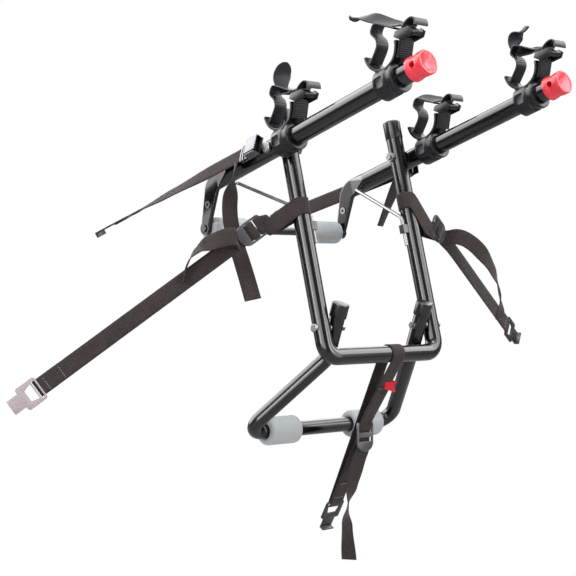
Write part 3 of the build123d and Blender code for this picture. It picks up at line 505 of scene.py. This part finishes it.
# places on a cradle are mm along the arm and square to it, from the arm's station under the cradle.
# wide: the direction of the tail's width (across, along, up) by share of its length, and widths: its shares
cradles = {
    "front_left": dict(
        side=-1, station=242,
        tail=[(55, 56.6), (32, 68), (9, 85), (-8, 97.5), (-27, 107), (-46, 112)],
        wide=[(0, (1, 0, 0)), (0.3, (0.85, 0, 0.5)), (0.6, (0.75, 0, 0.65)), (0.85, (0.9, 0.1, 0.2)),
              (1, (0.75, 0.3, -0.6))],
        widths=[(0, 1), (0.7, 1), (1, 0.8)]),
    "front_right": dict(
        side=1, station=247,
        tail=[(55, 56.6), (32, 63), (10, 68), (-3, 76), (-4.5, 87), (1, 96), (12, 101), (29, 101.5)],
        wide=[(0, (1, 0, 0)), (0.3, (0.8, 0, 0.6)), (0.52, (0.3, 0.9, 0.1)), (0.75, (0.74, 0.64, -0.2)),
              (1, (0.3, 0.2, 0.9))],
        widths=[(0, 1), (0.4, 0.85), (0.55, 0.5), (0.75, 0.95), (0.88, 0.6), (1, 0.3)]),
    "rear_left": dict(
        side=-1, station=30,
        tail=[(55, 56.6), (30, 60), (15, 64), (11, 74), (12, 88), (19, 99), (31, 107)],
        wide=[(0, (1, 0, 0)), (0.3, (1, 0, 0)), (0.5, (0.74, 0.64, -0.2)), (1, (0.74, 0.64, -0.2))],
        widths=[(0, 1), (0.35, 0.7), (0.48, 0.55), (0.75, 1.1), (1, 0.85)]),
    "rear_right": dict(
        side=1, station=45,
        tail=[(55, 56.6), (30, 69), (12, 80), (-4, 85)],
        wide=[(0, (1, 0, 0)), (0.4, (0.85, 0, 0.5)), (1, (0.8, 0, 0.6))],
        widths=[(0, 1), (1, 0.9)]),
}
# on each cradle: the buckle's lever with its roll, the ribbed strap and the ribs on the buckle's leg
lever = dict(wide=26.2, thick=2.6, widths=[(0, 0.75), (0.2, 0.97), (1, 1)],
             spots=[(43, 49), (50, 56.5), (58, 61), (66.5, 62.5), (72, 59.5), (73.2, 54), (71.5, 50)],
             roll=(60, 46), rollRadius=4.8, rollLong=22.8)
rubberStrap = dict(wide=23, thick=2.2, tip=12, cup=0.6, ribs=dict(pitch=3, high=0.5, start=0.3, end=0.98),
                   spots=[(-18.6, 34), (-12, 40), (-4.6, 46.6), (0.5, 53), (0.5, 62), (-6, 70), (-6, 75),
                          (2, 83), (12, 77), (24, 68.6), (35.5, 60.8)])
legRibs = dict(count=9, top=(45.4, 43.6), foot=(32.9, 19.9), half=12.2,
               outline=((-0.5, 0), (0.15, -0.75), (0.65, 0.55), (0.05, 1.0)))


def onArm(cradle, w, v, u=0.0):
    return (pivot + acrossWay * (cradle["side"] * rack["armX"] + u)
            + armWay * (cradle["station"] + w) + armUp * v) * mm


def buckleRibs(name, cradle):                    # cross ribs down the buckle's leg
    points, faces = [], []
    (topW, topV), (footW, footV) = legRibs["top"], legRibs["foot"]
    for i in range(legRibs["count"]):
        share = (i + 0.5) / legRibs["count"]
        w, v = topW + (footW - topW) * share, topV + (footV - topV) * share
        base = len(points)
        for end in (-1, 1):
            points += [onArm(cradle, w + dw, v + dv, end * legRibs["half"]) for dw, dv in legRibs["outline"]]
        faces += [(base, base + 1, base + 2, base + 3), (base + 7, base + 6, base + 5, base + 4)]
        faces += [(base + k, base + 4 + k, base + 4 + (k + 1) % 4, base + (k + 1) % 4) for k in range(4)]
    ribs = pieceFrom("buckleRibs_" + name, points, faces)
    editMesh(selectAll, faceOutwards)
    return finishPiece(ribs, cradlePlastic, bodyOf("cradle_buckle_" + name))


for name, cradle in cradles.items():
    dress("cradle_" + name, "cradle_" + name + "_body", cradlePlastic, bevel["cradle"])
    dress("cradle_buckle_" + name, "cradle_buckle_" + name + "_frame", cradlePlastic, bevel["buckle"])
    leverPath = smoothRoute([onArm(cradle, w, v) for w, v in lever["spots"]])
    flap = band("cradle_lever_" + name + "_flap", leverPath, steady(acrossWay), lever["wide"], lever["thick"],
                widthKeys=lever["widths"])
    finishPiece(flap, cradlePlastic, bodyOf("cradle_lever_" + name), ["cradle_lever_" + name], smooth=45)
    bpy.ops.mesh.primitive_cylinder_add(vertices=40, radius=lever["rollRadius"] * mm,
                                        depth=lever["rollLong"] * mm, rotation=(0, pi / 2, 0),
                                        location=onArm(cradle, *lever["roll"]))
    roll = bpy.context.object
    roll.name = "cradleRoll_" + name
    bpy.ops.object.transform_apply(location=True, rotation=True, scale=True)
    bevelPiece(roll, 0.8, 2, 50)
    finishPiece(roll, cradlePlastic, bodyOf("cradle_lever_" + name))
    body = bodyOf("cradle_strap_" + name)
    strapPath = smoothRoute([onArm(cradle, w, v) for w, v in rubberStrap["spots"]])
    strap = band("cradleStrap_" + name, strapPath, steady(acrossWay), rubberStrap["wide"],
                 rubberStrap["thick"], ribs=rubberStrap["ribs"])
    finishPiece(strap, strapRubber, body, ["cradle_strap_" + name], smooth=25)
    tailPath = smoothRoute([onArm(cradle, w, v) for w, v in cradle["tail"]])
    tailWide = [(share, acrossWay * a + armWay * b + armUp * c) for share, (a, b, c) in cradle["wide"]]
    tail = band("cradleTail_" + name, tailPath, tailWide, rubberStrap["wide"], rubberStrap["thick"],
                widthKeys=cradle["widths"], tip=rubberStrap["tip"], cup=rubberStrap["cup"])
    finishPiece(tail, strapRubber, body, smooth=50)
    buckleRibs(name, cradle)
print("cradles dressed")

web, webThick = rack["webWidth"] * mm, rack["webThick"] * mm


def webPiece(name, path, wideKeys, nodes=(), body="carry_arms"):
    piece = band(name, path, wideKeys, rack["webWidth"], rack["webThick"])
    return finishPiece(piece, blackWebbing, body, nodes, smooth=50)


def offsets(start, run, out, spots):             # spots are mm along the run and out from it
    return [start + run * along * mm + out * lift * mm for along, lift in spots]


# where webbing is folded round a hook's bar and sewn down, from its end
sewn = dict(fold=((6.2, -1.2), (5, -2.4), (-2, -2.3), (-8, -1.75), (-38, -1.7)), rows=(9, 35), half=10.5,
            faces=(("Top", 1, 0.8), ("Under", -1, -2.55)))


def sewnEnd(name, end, run, wide, body):
    normal = wide.cross(run)
    under = smoothRoute(offsets(end, run, normal, sewn["fold"]))
    made = [webPiece(name + "Fold", under, steady(wide), body=body)]
    for far in sewn["rows"]:
        for faceName, face, lift in sewn["faces"]:
            spot, reach = end - run * far * mm + normal * lift * mm, wide * sewn["half"] * mm
            rowName = f"{name}Stitch{far}{faceName}"
            made.append(stitchRow(rowName, spot - reach, spot + reach, normal * face, body))
    return made


# ladder lock, in mm from the tongue's tip: the tongue's length, the two slots and the rounding of its edges
lock = dict(wide=33, long=45, tongue=14, thick=3.2, slots=((15.5, 21.5), (29, 36)), slotWide=26.6, round=0.6,
            corner=((0, 4), (1.2, 1.2), (4, 0)))


def ladderLock(name, node, tongueTip, along, front):
    half, long, tongue = lock["wide"] / 2, lock["long"], lock["tongue"]
    outline = [(half * cos(radians(a)), tongue - tongue * sin(radians(a))) for a in range(0, 181, 10)]
    outline += [(x - half, long - y) for x, y in lock["corner"]]
    outline += [(half - x, long - y) for x, y in reversed(lock["corner"])]
    slotHalf = lock["slotWide"] / 2
    slots = [[(-slotHalf, low), (slotHalf, low), (slotHalf, high), (-slotHalf, high)]
             for low, high in lock["slots"]]
    curve = bpy.data.curves.new("lockOutline", "CURVE")
    curve.dimensions, curve.fill_mode = "2D", "BOTH"
    curve.bevel_depth, curve.bevel_resolution = lock["round"] * mm, 2
    curve.extrude, curve.offset = (lock["thick"] / 2 - lock["round"]) * mm, -lock["round"] * mm
    for ring in (outline, *slots):
        line = curve.splines.new("POLY")
        line.points.add(len(ring) - 1)
        for point, (x, y) in zip(line.points, ring):
            point.co = (x * mm, y * mm, 0, 1)
        line.use_cyclic_u = True
    holder = bpy.data.objects.new("lockOutline", curve)
    piece = bpy.data.objects.new(name, bpy.data.meshes.new_from_object(holder))
    bpy.data.objects.remove(holder)
    scene.collection.objects.link(piece)
    place = Matrix((along.cross(front), along, front)).transposed().to_4x4()
    place.translation = tongueTip
    piece.data.transform(place)
    activate(piece)
    editMesh(selectAll, mergeDoubles, faceOutwards)
    return finishPiece(piece, lockPlastic, bodyOf(node), [node], smooth=50)


# tails under the cam buckles, mm from the hub, with the direction of their width by share of their length
topTails = {
    "left": dict(route=[(-171, 53, -20.6), (-172, 64, -58), (-173, 66, -98), (-169, 55, -138),
                        (-163, 42, -178), (-160, 28, -219)],
                 wide=[(0, (0.5, 0.85, 0)), (0.06, (0.6, 0.75, 0.1)), (0.27, (0.95, -0.2, 0)),
                       (1, (0.9, -0.45, 0))]),
    "right": dict(route=[(148, 27, -26.1), (142, 36, -50), (137, 46, -76), (132, 56, -104)],
                  wide=[(0, (1, 0, 0)), (1, (0.9, 0.4, 0))]),
}
shortTails = {"left": [], "right": []}           # tails no longer than six webbing widths
for side, tailFacts in topTails.items():
    path = smoothRoute([hub(spot) for spot in tailFacts["route"]])
    wideKeys = [(share, Vector(way)) for share, way in tailFacts["wide"]]
    tail = webPiece("topTail_" + side, path, wideKeys, ["top_tail_" + side])
    if lengthsAlong(path)[-1] > 6 * web:
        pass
    else:
        shortTails[side].append(tail)

# turn: how far the cam buckle is turned round its arm, twist: how far the strap turns on its way, in degrees
topStraps = {
    "left": dict(sign=-1, turn=62, far=(-206, 288, -96), twist=38),
    "right": dict(sign=1, turn=-100, far=(152, 300, -80), twist=0),
}
camStation = -32                                 # the cam buckles' middle on the arm, mm from the hub
overCam = [(0, 18.4, 12), (0, 17.9, 0), (0, 17.9, -20.3)]    # webbing across the buckle, as atCam places it


def camWays(facts):
    turn = radians(facts["turn"])
    middle = pivot + acrossWay * (facts["sign"] * rack["armX"]) + armWay * camStation
    return middle, acrossWay * cos(turn) + armUp * sin(turn), armUp * cos(turn) - acrossWay * sin(turn)


def atCam(facts, u, v, w):                       # mm across the buckle, off the arm and along it
    middle, camWide, camOut = camWays(facts)
    return (middle + camWide * u + camOut * v + armWay * w) * mm


# the left cam buckle in mm: its plate on the arm, two cheeks, two wire bars over the webbing and a bare
# label. Spots are across the buckle, off the arm and along it
camParts = dict(
    plate=[(0, 15.35, -20), (0, 15.35, 20)], plateWide=30, plateThick=1.9,
    cheeks=(-14, 14), cheekOut=20.6, cheekEnds=(-3, 19), cheekWide=12.5, cheekThick=1.8,
    cheekWidths=[(0, 0.8), (0.2, 1), (0.8, 1), (1, 0.7)],
    wireHalf=[(-15, 15.5, 1.5), (-14.6, 18.4, 0), (-11, 19.9, -1)], wireTop=(0, 20.2, -1.6),
    wires=(-13.5, -18.5), wireWide=2.6, wireThick=2.4,
    label=[(0, 18.9, -11), (0, 19.2, -7), (0, 18.9, -3.5)], labelWide=26.2, labelThick=0.8)


def leftCamBuckle(facts):
    size = camParts
    camWide, camOut = camWays(facts)[1:]
    platePath = smoothRoute([atCam(facts, *spot) for spot in size["plate"]])
    base = band("camBuckle_left", platePath, steady(camWide), size["plateWide"], size["plateThick"])
    parts = [base]
    for u in size["cheeks"]:
        cheekPath = smoothRoute([atCam(facts, u, size["cheekOut"], w) for w in size["cheekEnds"]])
        parts.append(band("cheek", cheekPath, steady(camOut), size["cheekWide"], size["cheekThick"],
                          widthKeys=size["cheekWidths"]))
    wireSpots = [*size["wireHalf"], size["wireTop"], *((-u, v, w) for u, v, w in reversed(size["wireHalf"]))]
    for place in size["wires"]:
        wire = smoothRoute([atCam(facts, u, v, place + w) for u, v, w in wireSpots])
        parts.append(band("wireBar", wire, steady(armWay), size["wireWide"], size["wireThick"]))
    activate(base)
    for part in parts:
        part.select_set(True)
    bpy.ops.object.join()
    finishPiece(base, buckleSteel, "carry_arms", ["cam_buckle_left"])
    label = band("camLabel", smoothRoute([atCam(facts, *spot) for spot in size["label"]]), steady(camWide),
                 size["labelWide"], size["labelThick"])
    finishPiece(label, labelCloth, "carry_arms")


for side, facts in topStraps.items():
    camWide = camWays(facts)[1]
    inCam = [atCam(facts, *spot) for spot in overCam]
    start, end = inCam[-1], hub(facts["far"])
    run = (end - start).normalized()
    wide = squareTo(camWide, run)
    twist = radians(facts["twist"])
    halfWay, hookWide = (Matrix.Rotation(twist * share, 3, run) @ wide for share in (0.5, 1))
    path = smoothRoute([*inCam, start.lerp(end, 0.3), start.lerp(end, 0.6), end])
    wideKeys = [(0, camWide.copy()), (0.12, wide.copy()), (0.3, wide.copy()), (0.62, halfWay),
                (0.9, hookWide), (1, hookWide)]
    strap = webPiece("topStrap_" + side, path, wideKeys, ["top_strap_" + side])
    hookPiece = dress("top_hook_" + side, "topHook_" + side, hookBlack, bevel["hook"])
    twisted = Matrix.Translation(end) @ Matrix.Rotation(twist, 4, run) @ Matrix.Translation(-end)
    hookPiece.data.transform(twisted)
    sewnPieces = sewnEnd("topSewn_" + side, end, run, hookWide, "carry_arms")
    if side == "left":
        dress("cam_lever_left", "camLever_left", buckleSteel, bevel["camLever"])
        leftCamBuckle(facts)
    else:
        dress("cam_buckle_right", "camBuckle_right", blackCap, bevel["buckle"])
        dress("cam_lever_right", "camLever_right", blackCap, bevel["camLever"])
print("top straps made")

# run: the lock's tongue tip and the strap's end, mm from the hub. drop: mm from the hub down the upright.
# further: mm that the strap is let out past its solid
sideRuns = {
    "left": dict(sign=-1, drop=89, run=[(-186, 29, -134), (-418, 142, -320)], further=30, hookFinish=hookBare,
                 tail=[(-200, 20, -126), (-222, 36, -133), (-243, 54, -146), (-256, 64, -170),
                       (-258, 66, -192)],
                 tailWide=[(0.3, (0.1, 0.1, 1)), (0.5, (0.3, 0.3, 0.9)), (0.66, (0.6, 0.66, 0.45)),
                           (0.8, (0.67, 0.74, 0.05)), (1, (0.67, 0.74, 0))]),
    "right": dict(sign=1, drop=71.5, run=[(190, -28, -123), (431, 44, -267)], further=0, hookFinish=hookBlack,
                  tail=[(203, -50, -120), (234, -60, -138), (262, -68, -172), (284, -66, -212),
                        (291, -58, -251)],
                  tailWide=[(0.4, (0, 0, 1)), (0.6, (0.4, 0.3, 0.8)), (0.8, (0.67, 0.74, 0.1)),
                            (1, (0.95, 0.1, 0))]),
}
# how strap, tail and loop go through the lock: mm along the run from the tongue's tip, and out of its face
through = dict(
    strap=((-31, -2), (-30.2, 2.6), (-25, 2.9), (-20.5, 2.6), (-19, -2.6), (-10, -4.4), (4, -3.4), (24, 0)),
    tail=((-18, 0.6), (-15, -2.2), (-6, -2.6), (3, -1.4)),
    loop=((-33.6, 0.9), (-36.5, 2.6), (-43, 2.6)), loopEnd=45.6, loopGap=0.85, onTube=0.1)


def uprightLoop(middle, lockEnd):                # from the lock, round the upright and back
    toLock = lockEnd - middle
    along = toLock.dot(frameWay)
    flat = toLock - frameWay * along
    outward = flat.normalized()
    sideways = frameWay.cross(outward)
    radius = (rack["frameRadius"] + through["onTube"]) * mm + webThick / 2
    touch = acos((radius + webThick / 2) / flat.length)
    turns = [touch + (2 * pi - 2 * touch) * i / 40 for i in range(41)]
    arc = [middle + (outward * cos(turn) + sideways * sin(turn)) * radius for turn in turns]
    apart = sideways * through["loopGap"] * mm
    path = [(lockEnd + apart).lerp(arc[0], i / 6) for i in range(6)] + arc
    path += [arc[-1].lerp(lockEnd - apart, i / 6) for i in range(1, 7)]
    for i, spot in enumerate(path):              # it climbs the upright toward the lock
        climb = along * max(0, (spot - middle).dot(outward)) / flat.length
        path[i] = spot + frameWay * (climb - (along if i in (0, len(path) - 1) else 0))
    return path, sideways


for side, facts in sideRuns.items():
    start, end = (hub(spot) for spot in facts["run"])
    run = (end - start).normalized()
    end += run * facts["further"] * mm
    wide = squareTo(levelUp, run)
    normal = wide.cross(run)
    front = normal if normal.y < 0 else -normal  # the locks' faces look forward
    body = bodyOf("side_strap_" + side)
    path = smoothRoute([*offsets(start, run, front, through["strap"]),
                        start.lerp(end, 0.35), start.lerp(end, 0.7), end])
    strap = webPiece("sideStrap_" + side, path, steady(wide), ["side_strap_" + side], body)
    middle = (pivot + acrossWay * (facts["sign"] * rack["frameX"]) + frameWay * facts["drop"]) * mm
    lockEnd = start - run * through["loopEnd"] * mm
    ringPath, sideways = uprightLoop(middle, lockEnd)
    lean = normal if normal.dot(sideways) > 0 else -normal
    loopPath = [*offsets(start, run, lean, through["loop"]), *ringPath,
                *reversed(offsets(start, run, -lean, through["loop"]))]
    tilt = squareTo(frameWay, (lockEnd - middle).normalized())
    lockWide = wide if wide.dot(tilt) > 0 else -wide
    loopWide = [(0, lockWide.copy()), (0.3, frameWay.copy()), (0.7, frameWay.copy()), (1, lockWide.copy())]
    loopPiece = webPiece("sideLoop_" + side, loopPath, loopWide, ["side_loop_" + side], body)
    lockPiece = ladderLock("sideLock_" + side, "side_buckle_" + side, start, -run, front)
    hookPiece = dress("side_hook_" + side, "sideHook_" + side, facts["hookFinish"], bevel["hook"])
    hookPiece.data.transform(Matrix.Translation(run * facts["further"] * mm))
    tailPath = smoothRoute([*offsets(start, run, front, through["tail"]),
                            *(hub(spot) for spot in facts["tail"])])
    tailWide = [(0, wide.copy()), *((share, Vector(way)) for share, way in facts["tailWide"])]
    tail = webPiece("sideTail_" + side, tailPath, tailWide, ["side_tail_" + side], body)
    extras = [loopPiece, lockPiece, hookPiece, *sewnEnd("sideSewn_" + side, end, run, wide, body)]
    if lengthsAlong(tailPath)[-1] > 6 * web:
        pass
    else:
        extras.append(tail)
print("side straps made")

# bottom strap: over the cross tube, one leg to the lock and one down to the hook. Spots are mm from the hub
bottom = dict(
    barX=20, lockFoot=(20, -21, -426), lockShown=22.5, hook=(24, 46, -530), rearOut=3.2,
    onTube=12.8, steps=26,
    throughLock=((0, 2.2), (4, 3.5), (9.6, 2.2), (11.3, -1.6)),
    layerFrom=50, layerTo=6, layerLift=(1.65, 1.9), rowFrom=3, rowLift=0.8, rowHalf=11, runOut=4.1,
    tail=[(20, -19.6, -414.5), (20, -17.9, -421), (20, -17.7, -432), (19.6, -17.6, -446), (14, -15, -458),
          (4, -12, -492), (-3, -6, -532), (0, -3, -572), (3, -4, -611)],
    tailWide=[(0, (1, 0, 0)), (0.3, (1, -0.1, 0)), (0.44, (1, 0.1, 0)), (0.6, (0.67, 0.74, 0)),
              (0.74, (0.1, 1, 0)), (1, (-0.3, 1, 0))])
body = bodyOf("bottom_strap")
crossTube = pivot + frameWay * rack["frameDrop"]
barMiddle = Vector((bottom["barX"], crossTube.y, crossTube.z)) * mm
lockTop = hub(bottom["lockFoot"]) + levelUp * bottom["lockShown"] * mm
hookSpot = hub(bottom["hook"])
rearEnd = hookSpot - forward * bottom["rearOut"] * mm
loopRadius = bottom["onTube"] * mm + webThick / 2


def touchTurn(spot, sign):                       # where webbing from a spot meets the cross tube
    reach = Vector((0, spot.y - barMiddle.y, spot.z - barMiddle.z))
    return atan2(reach.z, reach.y) + sign * acos(loopRadius / reach.length)


rearTurn = touchTurn(rearEnd, 1)
wrap = (touchTurn(lockTop, -1) - rearTurn) % (2 * pi)
overTop = []                                     # from the front, over the tube, to the rear
for i in range(bottom["steps"], -1, -1):
    turn = rearTurn + wrap * i / bottom["steps"]
    overTop.append(barMiddle + Vector((0, cos(turn), sin(turn))) * loopRadius)
frontTouch, rearTouch = overTop[0], overTop[-1]
rearPath = overTop + [rearTouch.lerp(rearEnd, i / 20) for i in range(1, 21)]
rearStrap = webPiece("bottomStrap", rearPath, steady(acrossWay), ["bottom_strap"], body)
frontPath = smoothRoute([frontTouch, frontTouch.lerp(lockTop, 0.4), frontTouch.lerp(lockTop, 0.8),
                         *offsets(lockTop, -levelUp, forward, bottom["throughLock"])])
frontLeg = webPiece("bottomLeg", frontPath, steady(acrossWay), body=body)
legWay = (lockTop - frontTouch).normalized()
legOut = acrossWay.cross(legWay)
legOut = legOut if legOut.y < 0 else -legOut
layerStart = frontTouch + legWay * bottom["layerFrom"] * mm + legOut * bottom["layerLift"][0] * mm
layerEnd = lockTop - legWay * bottom["layerTo"] * mm + legOut * bottom["layerLift"][1] * mm
layer = webPiece("bottomLayer", smoothRoute([layerStart, layerEnd]), steady(acrossWay), body=body)
rowMiddle = layerStart + legWay * bottom["rowFrom"] * mm + legOut * bottom["rowLift"] * mm
rowHalf = acrossWay * bottom["rowHalf"] * mm
layerStitch = stitchRow("bottomLayerStitch", rowMiddle - rowHalf, rowMiddle + rowHalf, legOut, body)
lockPiece = ladderLock("bottomLock", "bottom_buckle", lockTop - levelUp * lock["long"] * mm, levelUp, forward)
runStart = hub(bottom["lockFoot"]) - forward * bottom["runOut"] * mm
runWay = (hookSpot - runStart).normalized()
runWide = squareTo(acrossWay, runWay)
runPiece = webPiece("bottomRun", smoothRoute([runStart, hookSpot]), steady(runWide), ["bottom_run"], body)
hookPiece = dress("bottom_hook", "bottomHook", hookBlack, bevel["hook"])
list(sewnEnd("bottomSewn", hookSpot, runWay, runWide, body))
tailPath = smoothRoute([hub(spot) for spot in bottom["tail"]])
tailWide = [(share, Vector(way)) for share, way in bottom["tailWide"]]
tail = webPiece("bottomTail", tailPath, tailWide, ["bottom_tail"], body)

# red pull tab, a short fold of webbing sewn to the leg's edge
tab = dict(wide=17, thick=1.2, way=(0, -0.25, -1),
           spots=[(17, -63, -343), (25, -63.6, -344), (32, -64.4, -346), (36, -65.4, -348.5),
                  (35, -67.4, -349), (27, -66.6, -346), (18, -65.2, -344)])
tabPiece = band("pullTab", smoothRoute([hub(spot) for spot in tab["spots"]]), steady(Vector(tab["way"])),
                tab["wide"], tab["thick"])
finishPiece(tabPiece, redWebbing, body, smooth=50)
print("bottom strap made")

# pale floor that fades to white away from the middle, in metres
stage = dict(radius=3, level=-0.85, fadeFrom=0.7, fadeTo=1.4)
bpy.ops.mesh.primitive_circle_add(vertices=96, radius=stage["radius"], fill_type="NGON",
                                  location=(0, 0, stage["level"]))
floor = bpy.context.object
floor.name = "floor"
paleFloor, tree, shader = surface("paleFloor", "E4E4E4", 0.9)
place = addNode(tree, "ShaderNodeTexCoord").outputs["Object"]
reach = addNode(tree, "ShaderNodeVectorMath", {0: place}, operation="LENGTH")
fade = addNode(tree, "ShaderNodeMapRange", {"Value": reach.outputs["Value"]},
               From_Min=stage["fadeFrom"], From_Max=stage["fadeTo"])
floorRays = addNode(tree, "ShaderNodeLightPath").outputs
floorSeen = addNode(tree, "ShaderNodeMath",
                    {0: floorRays["Is Camera Ray"], 1: floorRays["Is Transmission Ray"]}, operation="MAXIMUM")
white = addNode(tree, "ShaderNodeMath", {0: floorSeen.outputs[0], 1: fade.outputs["Result"]},
                operation="MULTIPLY")
glow = addNode(tree, "ShaderNodeEmission", Color=(1, 1, 1, 1), Strength=1.0)
blendFloor = addNode(tree, "ShaderNodeMixShader",
                     {0: white.outputs[0], 1: shader.outputs[0], 2: glow.outputs[0]})
tree.links.new(blendFloor.outputs[0], tree.nodes["Material Output"].inputs["Surface"])
floor.data.materials.append(paleFloor)

# white to the camera, dim grey to the object, and broad soft panels that only reflections see
studio = dict(
    dim=(0.3, 0.3, 0.31, 1), shine=(1, 0.985, 0.985, 1), base=0.35, soft=0.03,
    panels=[((-0.90, -0.42, 0.05), 0.90, 7.0), ((0.35, -0.93, 0.05), 0.93, 5.0),
            ((0.60, -0.45, 0.66), 0.88, 8.0), ((-0.35, 0.80, 0.48), 0.86, 7.0),
            ((0, -0.3, 0.95), 0.8, 2.8), ((0.67, 0.50, 0.53), 0.93, 3.2)])
world = bpy.data.worlds.new("studio")
scene.world = world
world.use_nodes = True
sky = world.node_tree
sky.nodes.clear()
skyRays = addNode(sky, "ShaderNodeLightPath").outputs
skySeen = addNode(sky, "ShaderNodeMath", {0: skyRays["Is Camera Ray"], 1: skyRays["Is Transmission Ray"]},
                  operation="MAXIMUM")
dim = addNode(sky, "ShaderNodeBackground", Color=studio["dim"], Strength=1.0)
bright = addNode(sky, "ShaderNodeBackground", Color=(1, 1, 1, 1), Strength=1.0)
skyWay = addNode(sky, "ShaderNodeTexCoord").outputs["Generated"]
glare = None
for panelWay, edge, strength in studio["panels"]:    # toward, cosine at its edge, strength
    toward = addNode(sky, "ShaderNodeVectorMath", {0: skyWay}, operation="DOT_PRODUCT")
    toward.inputs[1].default_value = Vector(panelWay).normalized()
    panel = addNode(sky, "ShaderNodeMapRange", {"Value": toward.outputs["Value"]},
                    From_Min=edge - studio["soft"], From_Max=edge + studio["soft"], To_Max=strength)
    glare = panel.outputs["Result"] if glare is None else addNode(
        sky, "ShaderNodeMath", {0: glare, 1: panel.outputs["Result"]}, operation="MAXIMUM").outputs[0]
lifted = addNode(sky, "ShaderNodeMath", {0: glare}, operation="ADD")
lifted.inputs[1].default_value = studio["base"]
shining = addNode(sky, "ShaderNodeBackground", {"Strength": lifted.outputs[0]}, Color=studio["shine"])
reflected = addNode(sky, "ShaderNodeMixShader",
                    {0: skyRays["Is Glossy Ray"], 1: dim.outputs[0], 2: shining.outputs[0]})
blendSky = addNode(sky, "ShaderNodeMixShader",
                   {0: skySeen.outputs[0], 1: reflected.outputs[0], 2: bright.outputs[0]})
addNode(sky, "ShaderNodeOutputWorld", {"Surface": blendSky.outputs[0]})

# soft boxes: place and aim in metres, width and height, power in watts
lamps = {
    "lampTop": dict(place=(-0.5, -0.6, 1.6), aim=(0, 0, 0), size=(1.6, 0.35), power=32),
    "lampLeft": dict(place=(-2.2, -0.3, 0.5), aim=(0, -0.1, -0.1), size=(0.5, 1.4), power=26),
    "lampRight": dict(place=(0.5, -2.4, 0.5), aim=(0, -0.1, -0.1), size=(0.5, 1.4), power=26),
}
for name, facts in lamps.items():
    light = bpy.data.lights.new(name, "AREA")
    light.shape, light.energy = "RECTANGLE", facts["power"]
    light.size, light.size_y = facts["size"]
    holder = bpy.data.objects.new(name, light)
    holder.location = facts["place"]
    holder.rotation_mode = "QUATERNION"
    holder.rotation_quaternion = (Vector(facts["aim"]) - Vector(facts["place"])).to_track_quat("-Z", "Y")
    scene.collection.objects.link(holder)
print("stage and lamps made")
